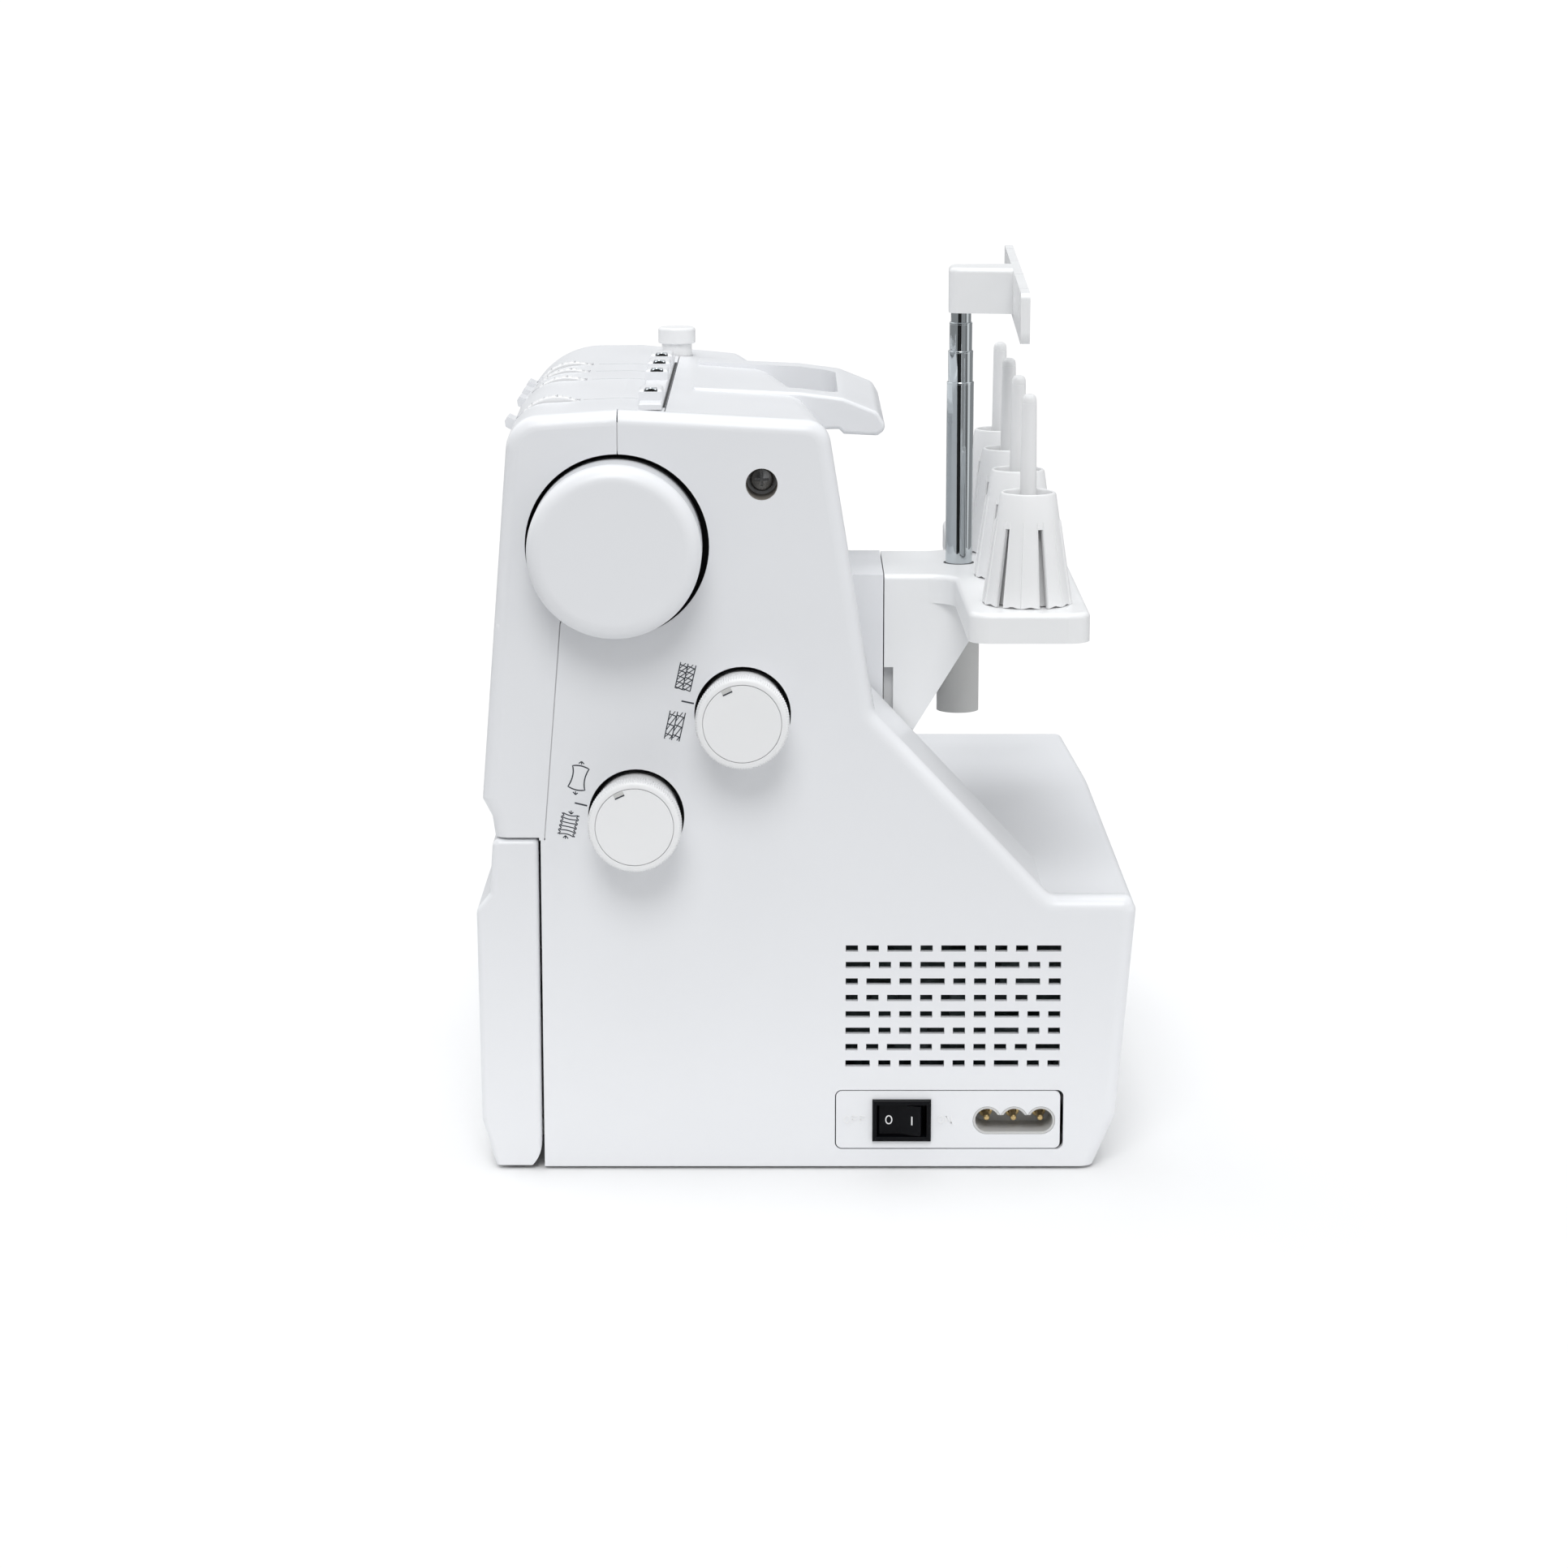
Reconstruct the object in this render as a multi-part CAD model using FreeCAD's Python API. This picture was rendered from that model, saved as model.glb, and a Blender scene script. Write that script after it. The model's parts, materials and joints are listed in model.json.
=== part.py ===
import FreeCAD, Part
import math
import os

V = FreeCAD.Vector

# ---------------------------------------------------------------------------
# Driving dimensions, in millimetres.
# X runs to the operator's right, Y to the rear, Z up; the origin is the middle
# of the footprint on the table.
# ---------------------------------------------------------------------------
GAP = 0.4                      # joint line between two casings
WALL = 2.8                     # casing wall
FLOOR_GAP = 1.0                # casing edge above the table, the feet stand out by this

X_LEFT = -163.0                # left end of the bed
X_RIGHT = 140.0                # outer face of the right side casing
X_SEAM = 133.4                 # inner edge of the right side casing
X_HEAD = -105.0                # left end of the sewing head
X_COLUMN = -40.0               # left face of the column

Y_FRONT = -95.2                # front wall of the base, behind the looper cover
Y_COVER = -118.0               # foremost line of the looper cover
Y_REAR = 118.0                 # rearmost line of the base
Z_DECK = 101.0                 # rear deck
Z_BED = 118.0                  # top of the bed under the cloth plate
BED_REAR = 13.0                # rear wall of the bed, in line with the column
Z_PLATE = 122.0                # top of the cloth plate
Z_CHIN = 123.0                 # lower edge of the front casing
Z_HEAD = 185.0                 # underside of the sewing head
Z_CROWN = 275.0                # highest line of the top

WHEEL_Y, WHEEL_Z, WHEEL_R = -67.1, 227.7, 30.4
WHEEL_FACE = 160.0             # outer face of the handwheel
WHEEL_EDGE = 5.5               # rounding of the handwheel's outer edge
POT_Y = WHEEL_Y + 0.5          # the recess stands a little behind the handwheel's axis
MAIN_R = 5.0                   # main shaft
FIT = 0.05                     # running clearance on the radius

LENGTH_DIAL = (-22.7, 167.7)   # stitch length dial centre (Y, Z)
FEED_DIAL = (-60.6, 130.8)     # differential feed dial centre (Y, Z)
SIDE_DIAL_R = 16.6
SIDE_DIAL_FACE = 158.0
SKIRT_STEP, SKIRT_LENGTH = 0.8, 7.6     # the dials' smooth skirt behind the knurled rim
RECESS_GAP = 0.5               # the recess is wider than the dial's rim by this
WHEEL_GAP = 1.9                # play of the handwheel in its recess
WHEEL_RECESS, DIAL_RECESS = 13.0, 10.0

SCREW_HOLE = (-15.9, 249.4)
SCREW_HOLE_R = 5.6
SCREW_WELL = 15.5              # depth of the screw well

TENSION_X = (97.7, 31.9, 4.1, -21.6)
TENSION_Y, TENSION_Z, TENSION_R = -89.3, 260.3, 15.6
TENSION_W = 5.6
TENSION_GAP = 0.6              # play of a tension dial in its slot
TOP_SEAM_Y = -49.8             # joint of front and rear casing, behind the thread guide plate
PLATE_FRONT, PLATE_REAR = -59.0, -50.9
DISC_Y, DISC_R = -55.0, 3.1
GUIDE_X = (114.0, 47.0, 18.0, -10.0)

STAND_X = 46.0                 # middle of the spool stand
GUSSET_FOOT = (37.4, 145.6)    # lowest corner of the gusset under the tray (Y, Z)
GUSSET_REAR = (60.0, 182.6)    # upper rear corner of the gusset (Y, Z)
ARM_HALF = 30.0
TRAY_HALF = 117.0
TRAY_TOP = 207.5
TRAY_T = 10.5
TRAY_Y0, TRAY_Y1 = 54.5, 98.2
PIN_PITCH = 62.0
PIN_Y = 77.2
PIN_TOP = 281.0
PIN_STEP = 248.0                # below this height the pins are thicker
CONE_FOOT_R, CONE_TOP_R, CONE_TOP = 16.0, 9.95, 246.8
PIN_X = tuple(STAND_X + PIN_PITCH * (1.5 - i) for i in range(4))
POLE_Y = 57.4
POLE_R = (5.0, 4.6, 4.2, 3.75)          # outer radii of the four sections
POLE_BORE = (4.66, 4.27, 3.82, 3.2)
POLE_TOP = (275.3, 286.8, 297.3, 312.0)
POLE_FOOT = (154.0, 156.0, 158.0, 160.0)
GUIDE_YAW = -1.8                        # the thread guide stands slightly turned
GUIDE_Z0, GUIDE_Z1 = 300.0, 318.0
BAR_HALF = 115.0
BAR_Y = 77.7

NEEDLE_X, NEEDLE_Y = -70.0, -68.0
PRESSER_Y = -51.0
HINGE_Y, HINGE_Z = -108.0, 10.0         # looper cover hinge line
BRACKET_X = (-146.0, 116.0)             # looper cover hinge brackets
SHAFT_Y, SHAFT_Z = -40.0, 70.0          # looper shaft
MOTOR_Y, MOTOR_Z = 48.0, 50.0

INLET_Y0, INLET_Y1, INLET_Z0, INLET_Z1 = 10.3, 92.8, 7.4, 29.7
ROCKER_Y, ROCKER_Z = 34.4, 18.3
SOCKET_Y, SOCKET_Z = 75.0, 18.2
SOCKET_PITCH = 9.7
HINGE_R = 2.2                  # looper cover hinge rod
FOOT_R = 12.0
FOOT_SEAT = 2.4                # feet are let into the pan up to this height
FOOT_XY = ((-138.0, -72.0), (-138.0, 80.0), (112.0, -72.0), (112.0, 80.0))
PAN_SCREW_XY = ((-100.0, -84.0), (80.0, -84.0), (-100.0, 88.0), (80.0, 88.0))
PLATE_X0, PLATE_X1, PLATE_Y1 = -100.0, -45.0, -31.0     # needle plate
FEED_X = (-74.6, -70.0, -65.4)
LOOPER_PIN_R = 3.0
LOWER_PIVOT = (-70.0, 45.0)
UPPER_PIVOT = (-42.0, 60.0)
NEEDLE_BAR_R, PRESSER_R = 3.3, 3.0
FOOT_PIN_Z = 130.5
LEVER_Y, LEVER_Z, LEVER_PIN_R = -28.0, 193.6, 2.0
UPRIGHT_R, UPRIGHT_L = (88.0, 96.0), (-20.0, -12.0)
TIMING_X, TIMING_R = (60.0, 68.0), 14.0
PULLEY_X, WHEEL_PULLEY_R, MOTOR_PULLEY_R = (108.0, 118.0), 28.0, 8.0
BELT_T = 1.6
ROCKER_X = 135.2
DISC_Z = 277.8
HANDLE_X = 5.0                 # middle of the carry handle
TUBE_R = 7.9
PIN_R = 2.7


# ---------------------------------------------------------------------------
# Helpers
# ---------------------------------------------------------------------------
def box(x0, x1, y0, y1, z0, z1):
    return Part.makeBox(x1 - x0, y1 - y0, z1 - z0, V(x0, y0, z0))


def rod_x(x0, x1, y, z, r):
    return Part.makeCylinder(r, x1 - x0, V(x0, y, z), V(1, 0, 0))


def rod_y(y0, y1, x, z, r):
    return Part.makeCylinder(r, y1 - y0, V(x, y0, z), V(0, 1, 0))


def rod_z(z0, z1, x, y, r):
    return Part.makeCylinder(r, z1 - z0, V(x, y, z0), V(0, 0, 1))


def in_yz(x):
    return lambda a, b: V(x, a, b)


def in_xz(y):
    return lambda a, b: V(a, y, b)


def in_xy(z):
    return lambda a, b: V(a, b, z)


def outline(corners, place):
    """Closed wire through corners (a, b, radius), each rounded by its own radius."""
    points = [V(c[0], c[1], 0) for c in corners]
    count = len(points)
    enter, leave, middle = [], [], []
    for i, point in enumerate(points):
        radius = corners[i][2] if len(corners[i]) > 2 else 0
        back = (points[i - 1] - point).normalize()
        ahead = (points[(i + 1) % count] - point).normalize()
        if radius <= 0:
            enter.append(point)
            leave.append(point)
            middle.append(None)
            continue
        half = back.getAngle(ahead) / 2
        reach = radius / math.tan(half)
        inward = (back + ahead).normalize()
        enter.append(point + back * reach)
        leave.append(point + ahead * reach)
        middle.append(point + inward * (radius / math.sin(half) - radius))
    edges = []
    for i in range(count):
        if middle[i] is not None:
            arc = [place(p.x, p.y) for p in (enter[i], middle[i], leave[i])]
            edges.append(Part.Arc(*arc).toShape())
        start, end = leave[i], enter[(i + 1) % count]
        if (end - start).Length > 1e-6:
            line = Part.LineSegment(place(start.x, start.y), place(end.x, end.y))
            edges.append(line.toShape())
    return Part.Wire(edges)


def prism_x(corners, x0, x1):
    return Part.Face(outline(corners, in_yz(x0))).extrude(V(x1 - x0, 0, 0))


def prism_y(corners, y0, y1):
    return Part.Face(outline(corners, in_xz(y0))).extrude(V(0, y1 - y0, 0))


def prism_z(corners, z0, z1):
    return Part.Face(outline(corners, in_xy(z0))).extrude(V(0, 0, z1 - z0))


def ring_x(x0, x1, y, z, r_out, r_in):
    return rod_x(x0, x1, y, z, r_out).cut(rod_x(x0 - 1, x1 + 1, y, z, r_in))


def turned_x(profile, y, z):
    """Solid of revolution about an X axis; profile is a list of (x, radius, corner)."""
    face = Part.Face(outline(profile, lambda a, b: V(a, y + b, z)))
    return face.revolve(V(0, y, z), V(1, 0, 0), 360)


def turned_z(profile, x, y):
    """Solid of revolution about a Z axis; profile is a list of (radius, z, corner)."""
    face = Part.Face(outline(profile, lambda a, b: V(x + a, y, b)))
    return face.revolve(V(x, y, 0), V(0, 0, 1), 360)


def soften(shape, radius, wanted):
    """Fillet the edges whose middle point passes the test."""
    edges = []
    for edge in shape.Edges:
        first, last = edge.ParameterRange
        if wanted(edge.valueAt((first + last) / 2)):
            edges.append(edge)
    return shape.makeFillet(radius, edges)


def joined(first, *others):
    return first.multiFuse(list(others)).removeSplitter()


def save(name, shape):
    """Write one component's STEP file, after testing that its solids are sound."""
    solids = shape.Solids
    if not solids or not all(s.isValid() and s.Volume > 0 for s in solids):
        raise ValueError("bad solid: " + name)
    body = solids[0] if len(solids) == 1 else Part.makeCompound(solids)
    body.exportStep("parts/" + name + ".step")
    ends = body.BoundBox
    print("%-20s solids %2d  volume %9.0f  x %.1f..%.1f y %.1f..%.1f z %.1f..%.1f" % (
        name, len(solids), body.Volume, ends.XMin, ends.XMax, ends.YMin, ends.YMax, ends.ZMin, ends.ZMax))


# ---------------------------------------------------------------------------
# Outer form of the machine, from which the casings are parted
# ---------------------------------------------------------------------------
def upper_section(x, front, brow_y, brow_z, brow_r, rear, inset):
    """Cross-section of column and head at x, drawn in by the inset."""
    foot = rear + 0.172 * (271.2 - 100)
    corners = [
        (Y_FRONT + inset, Z_CHIN, 0), (front + 4.4 + inset, Z_CHIN, 0),
        (front + 3.4 + inset, Z_CHIN + 7, 5), (front + inset, Z_CHIN + 13.5, 2),
        (brow_y + inset, brow_z - inset, brow_r - inset), (-66.0, Z_CROWN - inset, 0),
        (rear - inset, 271.2 - inset, 9.0 - inset), (foot - inset, 100 - inset, 0),
        (Y_FRONT + inset, 100 - inset, 0)]
    return outline(corners, in_yz(x))


def upper_form(inset):
    sections = [
        upper_section(X_RIGHT - inset, -115.3, -104.3, 272.4, 12.0, 7.0, inset),
        upper_section(20.0, -117.0, -108.3, 274.3, 20.0, -3.4, inset),
        upper_section(X_HEAD + inset, -117.8, -112.4, 274.6, 32.0, -24.5, inset)]
    form = Part.makeLoft(sections, True, True)
    if inset == 0:
        form = soften(form, 5.0, lambda p: p.x > X_RIGHT - 0.1 and p.z > Z_CHIN + 2)
        form = soften(form, 9.0, lambda p: p.x < X_HEAD + 0.1 and p.z > Z_CHIN + 2)
    notch = [(X_HEAD - 20, 80, 0), (X_COLUMN + inset, 80, 0),
             (X_COLUMN + inset, Z_HEAD + inset, 14), (X_HEAD - 20, Z_HEAD + inset, 0)]
    return form.cut(prism_y(notch, -140, 80))


def base_section(x, taper, inset):
    corners = [
        (Y_FRONT + inset, FLOOR_GAP - inset, 0), (Y_FRONT + inset, Z_DECK - inset, 0),
        (Y_REAR - 2.2 - taper - inset, Z_DECK - inset, 3.0),
        (Y_REAR - taper - inset, 96.0 - inset * 0.5, 3.0),
        (111.8 - taper - inset, 19.0, 4.0), (104.0 - taper - inset, FLOOR_GAP - inset, 0)]
    return outline(corners, in_yz(x))


def base_form(inset):
    near = Part.makeLoft([base_section(X_RIGHT - inset, 0, inset),
                          base_section(-72.0, 1.0, inset)], True, True)
    far = Part.makeLoft([base_section(-72.0, 1.0, inset),
                         base_section(X_LEFT + inset, 4.9, inset)], True, True)
    if inset == 0:
        far = soften(far, 5.0, lambda p: p.x < X_LEFT + 0.1 and p.z > 3 and p.y > -90)
    return near.fuse(far)


def bed_form(inset):
    corners = [(X_LEFT + inset, Y_FRONT + inset, 0), (-30, Y_FRONT + inset, 0),
               (-30, BED_REAR - inset, 0), (X_LEFT + inset, BED_REAR - inset, 12.0 - inset)]
    return prism_z(corners, 90, Z_BED - inset)


def ramp_form(inset):
    corners = [(10, 95, 0), (10, 170, 0), (22 - inset, 168.4 - inset, 0),
               (86.9 - 1.4 * inset, 98.9, 0), (86.9 - 1.4 * inset, 95, 0)]
    return prism_x(corners, 78 + inset, X_RIGHT - inset)


def boss_form(inset):
    corners = [(-30, TRAY_TOP - inset, 0), (28.4 - inset, TRAY_TOP - inset, 0),
               (28.4 - inset, 158 + inset, 0), (-30, 166 + inset, 0)]
    half = ARM_HALF - inset
    return prism_x(corners, STAND_X - half, STAND_X + half)


def whole_form(inset):
    return joined(upper_form(inset), base_form(inset), bed_form(inset),
                  ramp_form(inset), boss_form(inset))


def front_region(gap):
    """Room of the front casing; its top reaches further back left of the side casing."""
    low = [(-140, Z_CHIN - 1, 0), (-93.3 - gap, Z_CHIN - 1, 0), (-86.8 - gap, 200.3, 0),
           (-66.2 - gap, 258.0, 0)]
    beside = low + [(-66.2 - gap, 300, 0), (-140, 300, 0)]
    inner = low + [(TOP_SEAM_Y - gap, 266.0, 0), (TOP_SEAM_Y - gap, 300, 0), (-140, 300, 0)]
    return joined(prism_x(beside, X_SEAM - GAP, X_RIGHT + 20),
                  prism_x(inner, X_HEAD - 20, X_SEAM - GAP))


# ---------------------------------------------------------------------------
# Casings
# ---------------------------------------------------------------------------
def vent_cutters():
    """Eight rows of short and long slots."""
    rows = ("SSLSLSSSL", "LSSLSSLSS", "SLSLSSSLS", "SSLSLSSSL",
            "LSSSLSLSS", "LSSLSSLSS", "SSLSLSSSL", "LSSLSSLSS")
    width = {"S": 4.4, "L": 8.8}
    cutters = []
    for row, pattern in enumerate(rows):
        z = 82.3 - 6.1 * row
        y = 14.0
        for letter in pattern:
            cutters.append(box(X_SEAM - 5, X_RIGHT + 5, y, y + width[letter], z - 1.2, z + 1.2))
            y += width[letter] + 3.05
    return Part.makeCompound(cutters)


def side_outline():
    seam_top, seam_low = -66.2 + GAP / 2, -93.3 + GAP / 2
    return [(Y_FRONT + 0.5, FLOOR_GAP, 0), (Y_FRONT + 0.5, Z_CHIN - 1, 0), (seam_low, Z_CHIN - 1, 0),
            (-86.8 + GAP / 2, 200.3, 0), (seam_top, 258.0, 0), (seam_top, Z_CROWN, 0),
            (7.0, 271.2, 9.0), (23.9, 168.0, 6.0), (87.2, 101.0, 5.0),
            (Y_REAR - 2.2, Z_DECK, 3.0), (Y_REAR, 96.0, 3.0),
            (111.8, 19.0, 4.0), (104.0, FLOOR_GAP, 0)]


def is_outer_rim(point):
    on_face = point.x > X_RIGHT - 0.1
    behind = point.y > -64
    return on_face and behind and point.z > 3


def recess(y, z, r, depth, collar):
    """Open pot behind a round hole in the side casing."""
    pot = rod_x(X_RIGHT - depth - 2, X_RIGHT - 1.5, y, z, r + 2)
    hollow = rod_x(X_RIGHT - depth, X_RIGHT + 5, y, z, r)
    bore = rod_x(X_RIGHT - depth - 5, X_RIGHT, y, z, collar)
    return pot, hollow.fuse(bore)


def side_casing():
    shell = prism_x(side_outline(), X_SEAM, X_RIGHT)
    shell = soften(shell, 5.0, is_outer_rim)
    face = Part.Face(outline(side_outline(), in_yz(X_SEAM)))
    hollow = face.makeOffset2D(-WALL).extrude(V(X_RIGHT - WALL - X_SEAM, 0, 0))
    shell = shell.cut(hollow)
    pots = [recess(POT_Y, WHEEL_Z, WHEEL_R + WHEEL_GAP, WHEEL_RECESS, MAIN_R + 2),
            recess(*LENGTH_DIAL, SIDE_DIAL_R + RECESS_GAP, DIAL_RECESS, 4.0),
            recess(*FEED_DIAL, SIDE_DIAL_R + RECESS_GAP, DIAL_RECESS, 4.0),
            recess(*SCREW_HOLE, SCREW_HOLE_R, SCREW_WELL, 2.15)]
    shell = shell.multiFuse([pot for pot, _ in pots])
    shell = shell.cut(Part.makeCompound([hollow for _, hollow in pots]))
    window = [(INLET_Y0, INLET_Z0, 2.5), (INLET_Y1, INLET_Z0, 2.5),
              (INLET_Y1, INLET_Z1, 2.5), (INLET_Y0, INLET_Z1, 2.5)]
    shell = shell.cut(prism_x(window, X_SEAM - 5, X_RIGHT + 5))
    return shell.cut(vent_cutters())


def top_openings():
    """Everything that is cut through the top of the casings."""
    half = TENSION_W / 2 + TENSION_GAP
    cutters = [rod_x(x - half, x + half, TENSION_Y, TENSION_Z, TENSION_R + TENSION_GAP)
               for x in TENSION_X]
    for x in TENSION_X:
        cutters.append(box(x - 0.6, x + 0.6, -80, -58, Z_CROWN - 2.0, Z_CROWN + 3))
    cutters.append(rod_z(250, 290, NEEDLE_X, PRESSER_Y, 6.5))
    return Part.makeCompound(cutters)


def casing_shells(outer):
    """Front casing with its thread hooks, and rear casing, parted from one hollow form."""
    shell = outer.cut(whole_form(WALL))
    front = shell.common(front_region(GAP / 2))
    front = front.cut(top_openings())
    pot_room = rod_x(100, X_RIGHT - 1.4, POT_Y, WHEEL_Z, WHEEL_R + WHEEL_GAP + 2.4)
    wheel_hole = rod_x(100, X_RIGHT + 5, POT_Y, WHEEL_Z, WHEEL_R + WHEEL_GAP)
    front = joined(front.cut(pot_room).cut(wheel_hole), *thread_hooks(outer))

    behind = shell.cut(front_region(-GAP / 2))
    rear = behind.cut(box(X_SEAM - GAP, X_RIGHT + 20, -140, 140, -20, 300))
    openings = [
        box(-119, -11, Y_FRONT - 5, Y_FRONT + 8, 22, Z_BED + 1),
        box(-119, X_COLUMN - 1, Y_FRONT - 5, -30, Z_BED - 10, Z_BED + 1),
        box(-84, -52, -82, -40, Z_HEAD - 3, Z_HEAD + 5),
        box(-64.5, -54.5, -44, 30, Z_HEAD - 3, 218),
        box(X_COLUMN - 3, X_COLUMN + 5, -75, -61, 128, 158),
        box(BRACKET_X[0] - 1, BRACKET_X[0] + 5, Y_FRONT - 5, Y_FRONT + 8, 5, 15),
        box(BRACKET_X[1] - 1, BRACKET_X[1] + 5, Y_FRONT - 5, Y_FRONT + 8, 5, 15),
        rod_z(250, 290, NEEDLE_X, PRESSER_Y, 6.5)]
    rear = rear.cut(Part.makeCompound(openings))
    return front, rear


def base_pan():
    pan = box(X_LEFT + WALL + 0.3, X_SEAM - 0.5, Y_FRONT + WALL + 0.3, 96.0, FLOOR_GAP, 4.0)
    pan = soften(pan, 4.0, lambda p: abs(p.z - 2.5) < 0.1)
    feet = [rod_z(-1, FOOT_SEAT, x, y, FOOT_R) for x, y in FOOT_XY]
    screws = [rod_z(-1, 5, x, y, 2.2) for x, y in PAN_SCREW_XY]
    heads = [rod_z(-1, FLOOR_GAP + 2.0, x, y, 4.2) for x, y in PAN_SCREW_XY]
    pan = pan.cut(Part.makeCompound(feet + screws + heads))
    return joined(pan, *cover_hinge_brackets())


def rubber_feet():
    return Part.makeCompound([
        turned_z([(0, 0, 0), (FOOT_R, 0, 0.8), (FOOT_R, FOOT_SEAT, 0), (0, FOOT_SEAT, 0)], x, y)
        for x, y in FOOT_XY])


def phillips_screw(length):
    """Pan head screw pointing along +Z, head at the top."""
    head = turned_z([(0, 0, 0), (4.2, 0, 0), (4.2, 1.9, 0.8), (0, 2.4, 0)], 0, 0)
    cross = box(-2.4, 2.4, -0.45, 0.45, 1.0, 3).fuse(box(-0.45, 0.45, -2.4, 2.4, 1.0, 3))
    return joined(head.cut(cross), rod_z(-length, 0, 0, 0, 2.1))


def casing_screws():
    side = phillips_screw(9.0)
    side.rotate(V(0, 0, 0), V(0, 1, 0), 90)
    side.translate(V(X_RIGHT - SCREW_WELL, SCREW_HOLE[0], SCREW_HOLE[1]))
    screws = [side]
    for x, y in PAN_SCREW_XY:
        screw = phillips_screw(8.0)
        screw.rotate(V(0, 0, 0), V(1, 0, 0), 180)
        screw.translate(V(x, y, FLOOR_GAP + 2.0))
        screws.append(screw)
    return Part.makeCompound(screws)


def looper_cover():
    outer = [(-95.6, 1.4, 0), (-95.6, 122.2, 1.5), (-111.8, 122.2, 2.5), (-113.2, 102.4, 3),
             (Y_COVER, 96.5, 5), (-117.2, 18.4, 5), (-112.2, 1.4, 0)]
    inner = [(-90, -3, 0), (-90, 119.7, 0), (-109.4, 119.7, 2), (-110.8, 101.0, 4),
             (Y_COVER + 2.5, 95.0, 4), (-114.7, 19.0, 4), (-109.0, -3, 0)]
    cover = prism_x(outer, X_LEFT + GAP, X_RIGHT)
    cover = soften(cover, 2.0, lambda p: p.x > X_RIGHT - 0.1 and p.y < -96 and p.z > 2)
    cover = soften(cover, 2.0, lambda p: p.x < X_LEFT + GAP + 0.1 and p.y < -96 and p.z > 2)
    cover = cover.cut(prism_x(inner, X_LEFT + GAP + WALL, X_RIGHT - WALL))
    corner = box(X_LEFT, X_RIGHT + 1, HINGE_Y, -90, 0, HINGE_Z)
    keep = rod_x(X_LEFT, X_RIGHT + 1, HINGE_Y, HINGE_Z, 12.3)
    cover = cover.cut(corner.cut(keep))
    for x in (-130.0, 100.0):
        eye = box(x, x + 8, -115.6, HINGE_Y, HINGE_Z - 4, HINGE_Z + 4)
        cover = cover.fuse(eye.fuse(rod_x(x, x + 8, HINGE_Y, HINGE_Z, 4)))
    return cover.cut(rod_x(-155, 135, HINGE_Y, HINGE_Z, HINGE_R + FIT)).removeSplitter()


def cover_hinge_bar():
    return rod_x(BRACKET_X[0] - 4, BRACKET_X[1] + 12, HINGE_Y, HINGE_Z, HINGE_R)


def cover_hinge_brackets():
    solids = []
    for x in BRACKET_X:
        arm = box(x, x + 4, HINGE_Y, -80, HINGE_Z - 3.2, HINGE_Z + 3.2)
        foot = box(x - 4, x + 8, -91.5, -76, 4.0, HINGE_Z + 3.2)
        nose = rod_x(x, x + 4, HINGE_Y, HINGE_Z, 3.2)
        bracket = joined(arm, foot, nose)
        solids.append(bracket.cut(rod_x(x - 5, x + 10, HINGE_Y, HINGE_Z, HINGE_R + FIT)))
    return solids


def looper_panel():
    """Open-fronted tray that holds the loopers under the needle plate."""
    tray = box(-118.6, -11.4, -95.0, -50.0, 22.4, 114.5)
    tray = tray.cut(box(-116.6, -13.4, -98.0, -52.0, 24.4, 120))
    bores = [rod_y(-54, -48, x, z, LOOPER_PIN_R + FIT) for x, z in (LOWER_PIVOT, UPPER_PIVOT)]
    return tray.cut(Part.makeCompound(bores)).cut(box(-81, -59, -54, -48, 100, 120))


def cloth_plate():
    corners = [(X_LEFT + 0.6, -94.8, 2), (X_COLUMN - 0.6, -94.8, 0),
               (X_COLUMN - 0.6, BED_REAR - 0.6, 0), (X_LEFT + 0.6, BED_REAR - 0.6, 12)]
    plate = prism_z(corners, Z_BED, Z_PLATE)
    plate = soften(plate, 2.0, lambda p: p.z > Z_PLATE - 0.1 and p.x < X_COLUMN - 2)
    window = box(PLATE_X0 - 0.3, PLATE_X1 + 0.3, -90.3, PLATE_Y1 + 0.3, Z_BED - 1, Z_PLATE + 1)
    return plate.cut(window)


def needle_plate():
    plate = box(PLATE_X0, PLATE_X1, -90.0, PLATE_Y1, Z_BED + 0.2, Z_PLATE)
    cutters = [box(-76, -64, -71, -65, 110, 130), box(-60.8, -54.6, -76, -60, 110, 130)]
    for x in FEED_X:
        cutters.append(box(x - 1.7, x + 1.7, -63, -34, 110, 130))
    cutters += [rod_z(110, 130, x, -84, 1.6) for x in (PLATE_X0 + 5, PLATE_X1 - 4)]
    return plate.cut(Part.makeCompound(cutters))


def feed_dogs():
    carrier = box(-78, -62, -60, -38, 107, 112)
    bars = []
    for x in FEED_X:
        bars.append(box(x - 1.2, x + 1.2, -60, -38, 111, 121.8))
        for step in range(11):
            y = -60 + 2 * step
            tooth = [(y, 121.5, 0), (y + 2, 121.5, 0), (y + 1.6, 122.6, 0)]
            bars.append(prism_x(tooth, x - 1.2, x + 1.2))
    return joined(carrier, *bars)


def swinging_looper(pivot, y, tip):
    """Looper arm with its pin; the arm stands in the XZ plane."""
    px, pz = pivot
    tx, tz = tip
    arm = [(px - 5, pz - 5, 3), (px + 5, pz - 5, 3), (px + 4, tz - 16, 6), (tx + 12, tz - 5, 4),
           (tx, tz, 0), (tx + 1, tz - 4, 0), (px - 3, tz - 14, 6)]
    pin = rod_y(y, -48.5, px, pz, LOOPER_PIN_R)
    return joined(prism_y(arm, y - 3, y + 1), pin)


def upper_knife():
    blade = box(-57.4, -55.4, -73, -62, 123.2, 148)
    holder = box(-57.4, -46, -72, -64, 139, 149)
    rod = rod_x(-46, -32, -68, 144, 3)
    return joined(blade, holder, rod)


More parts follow.
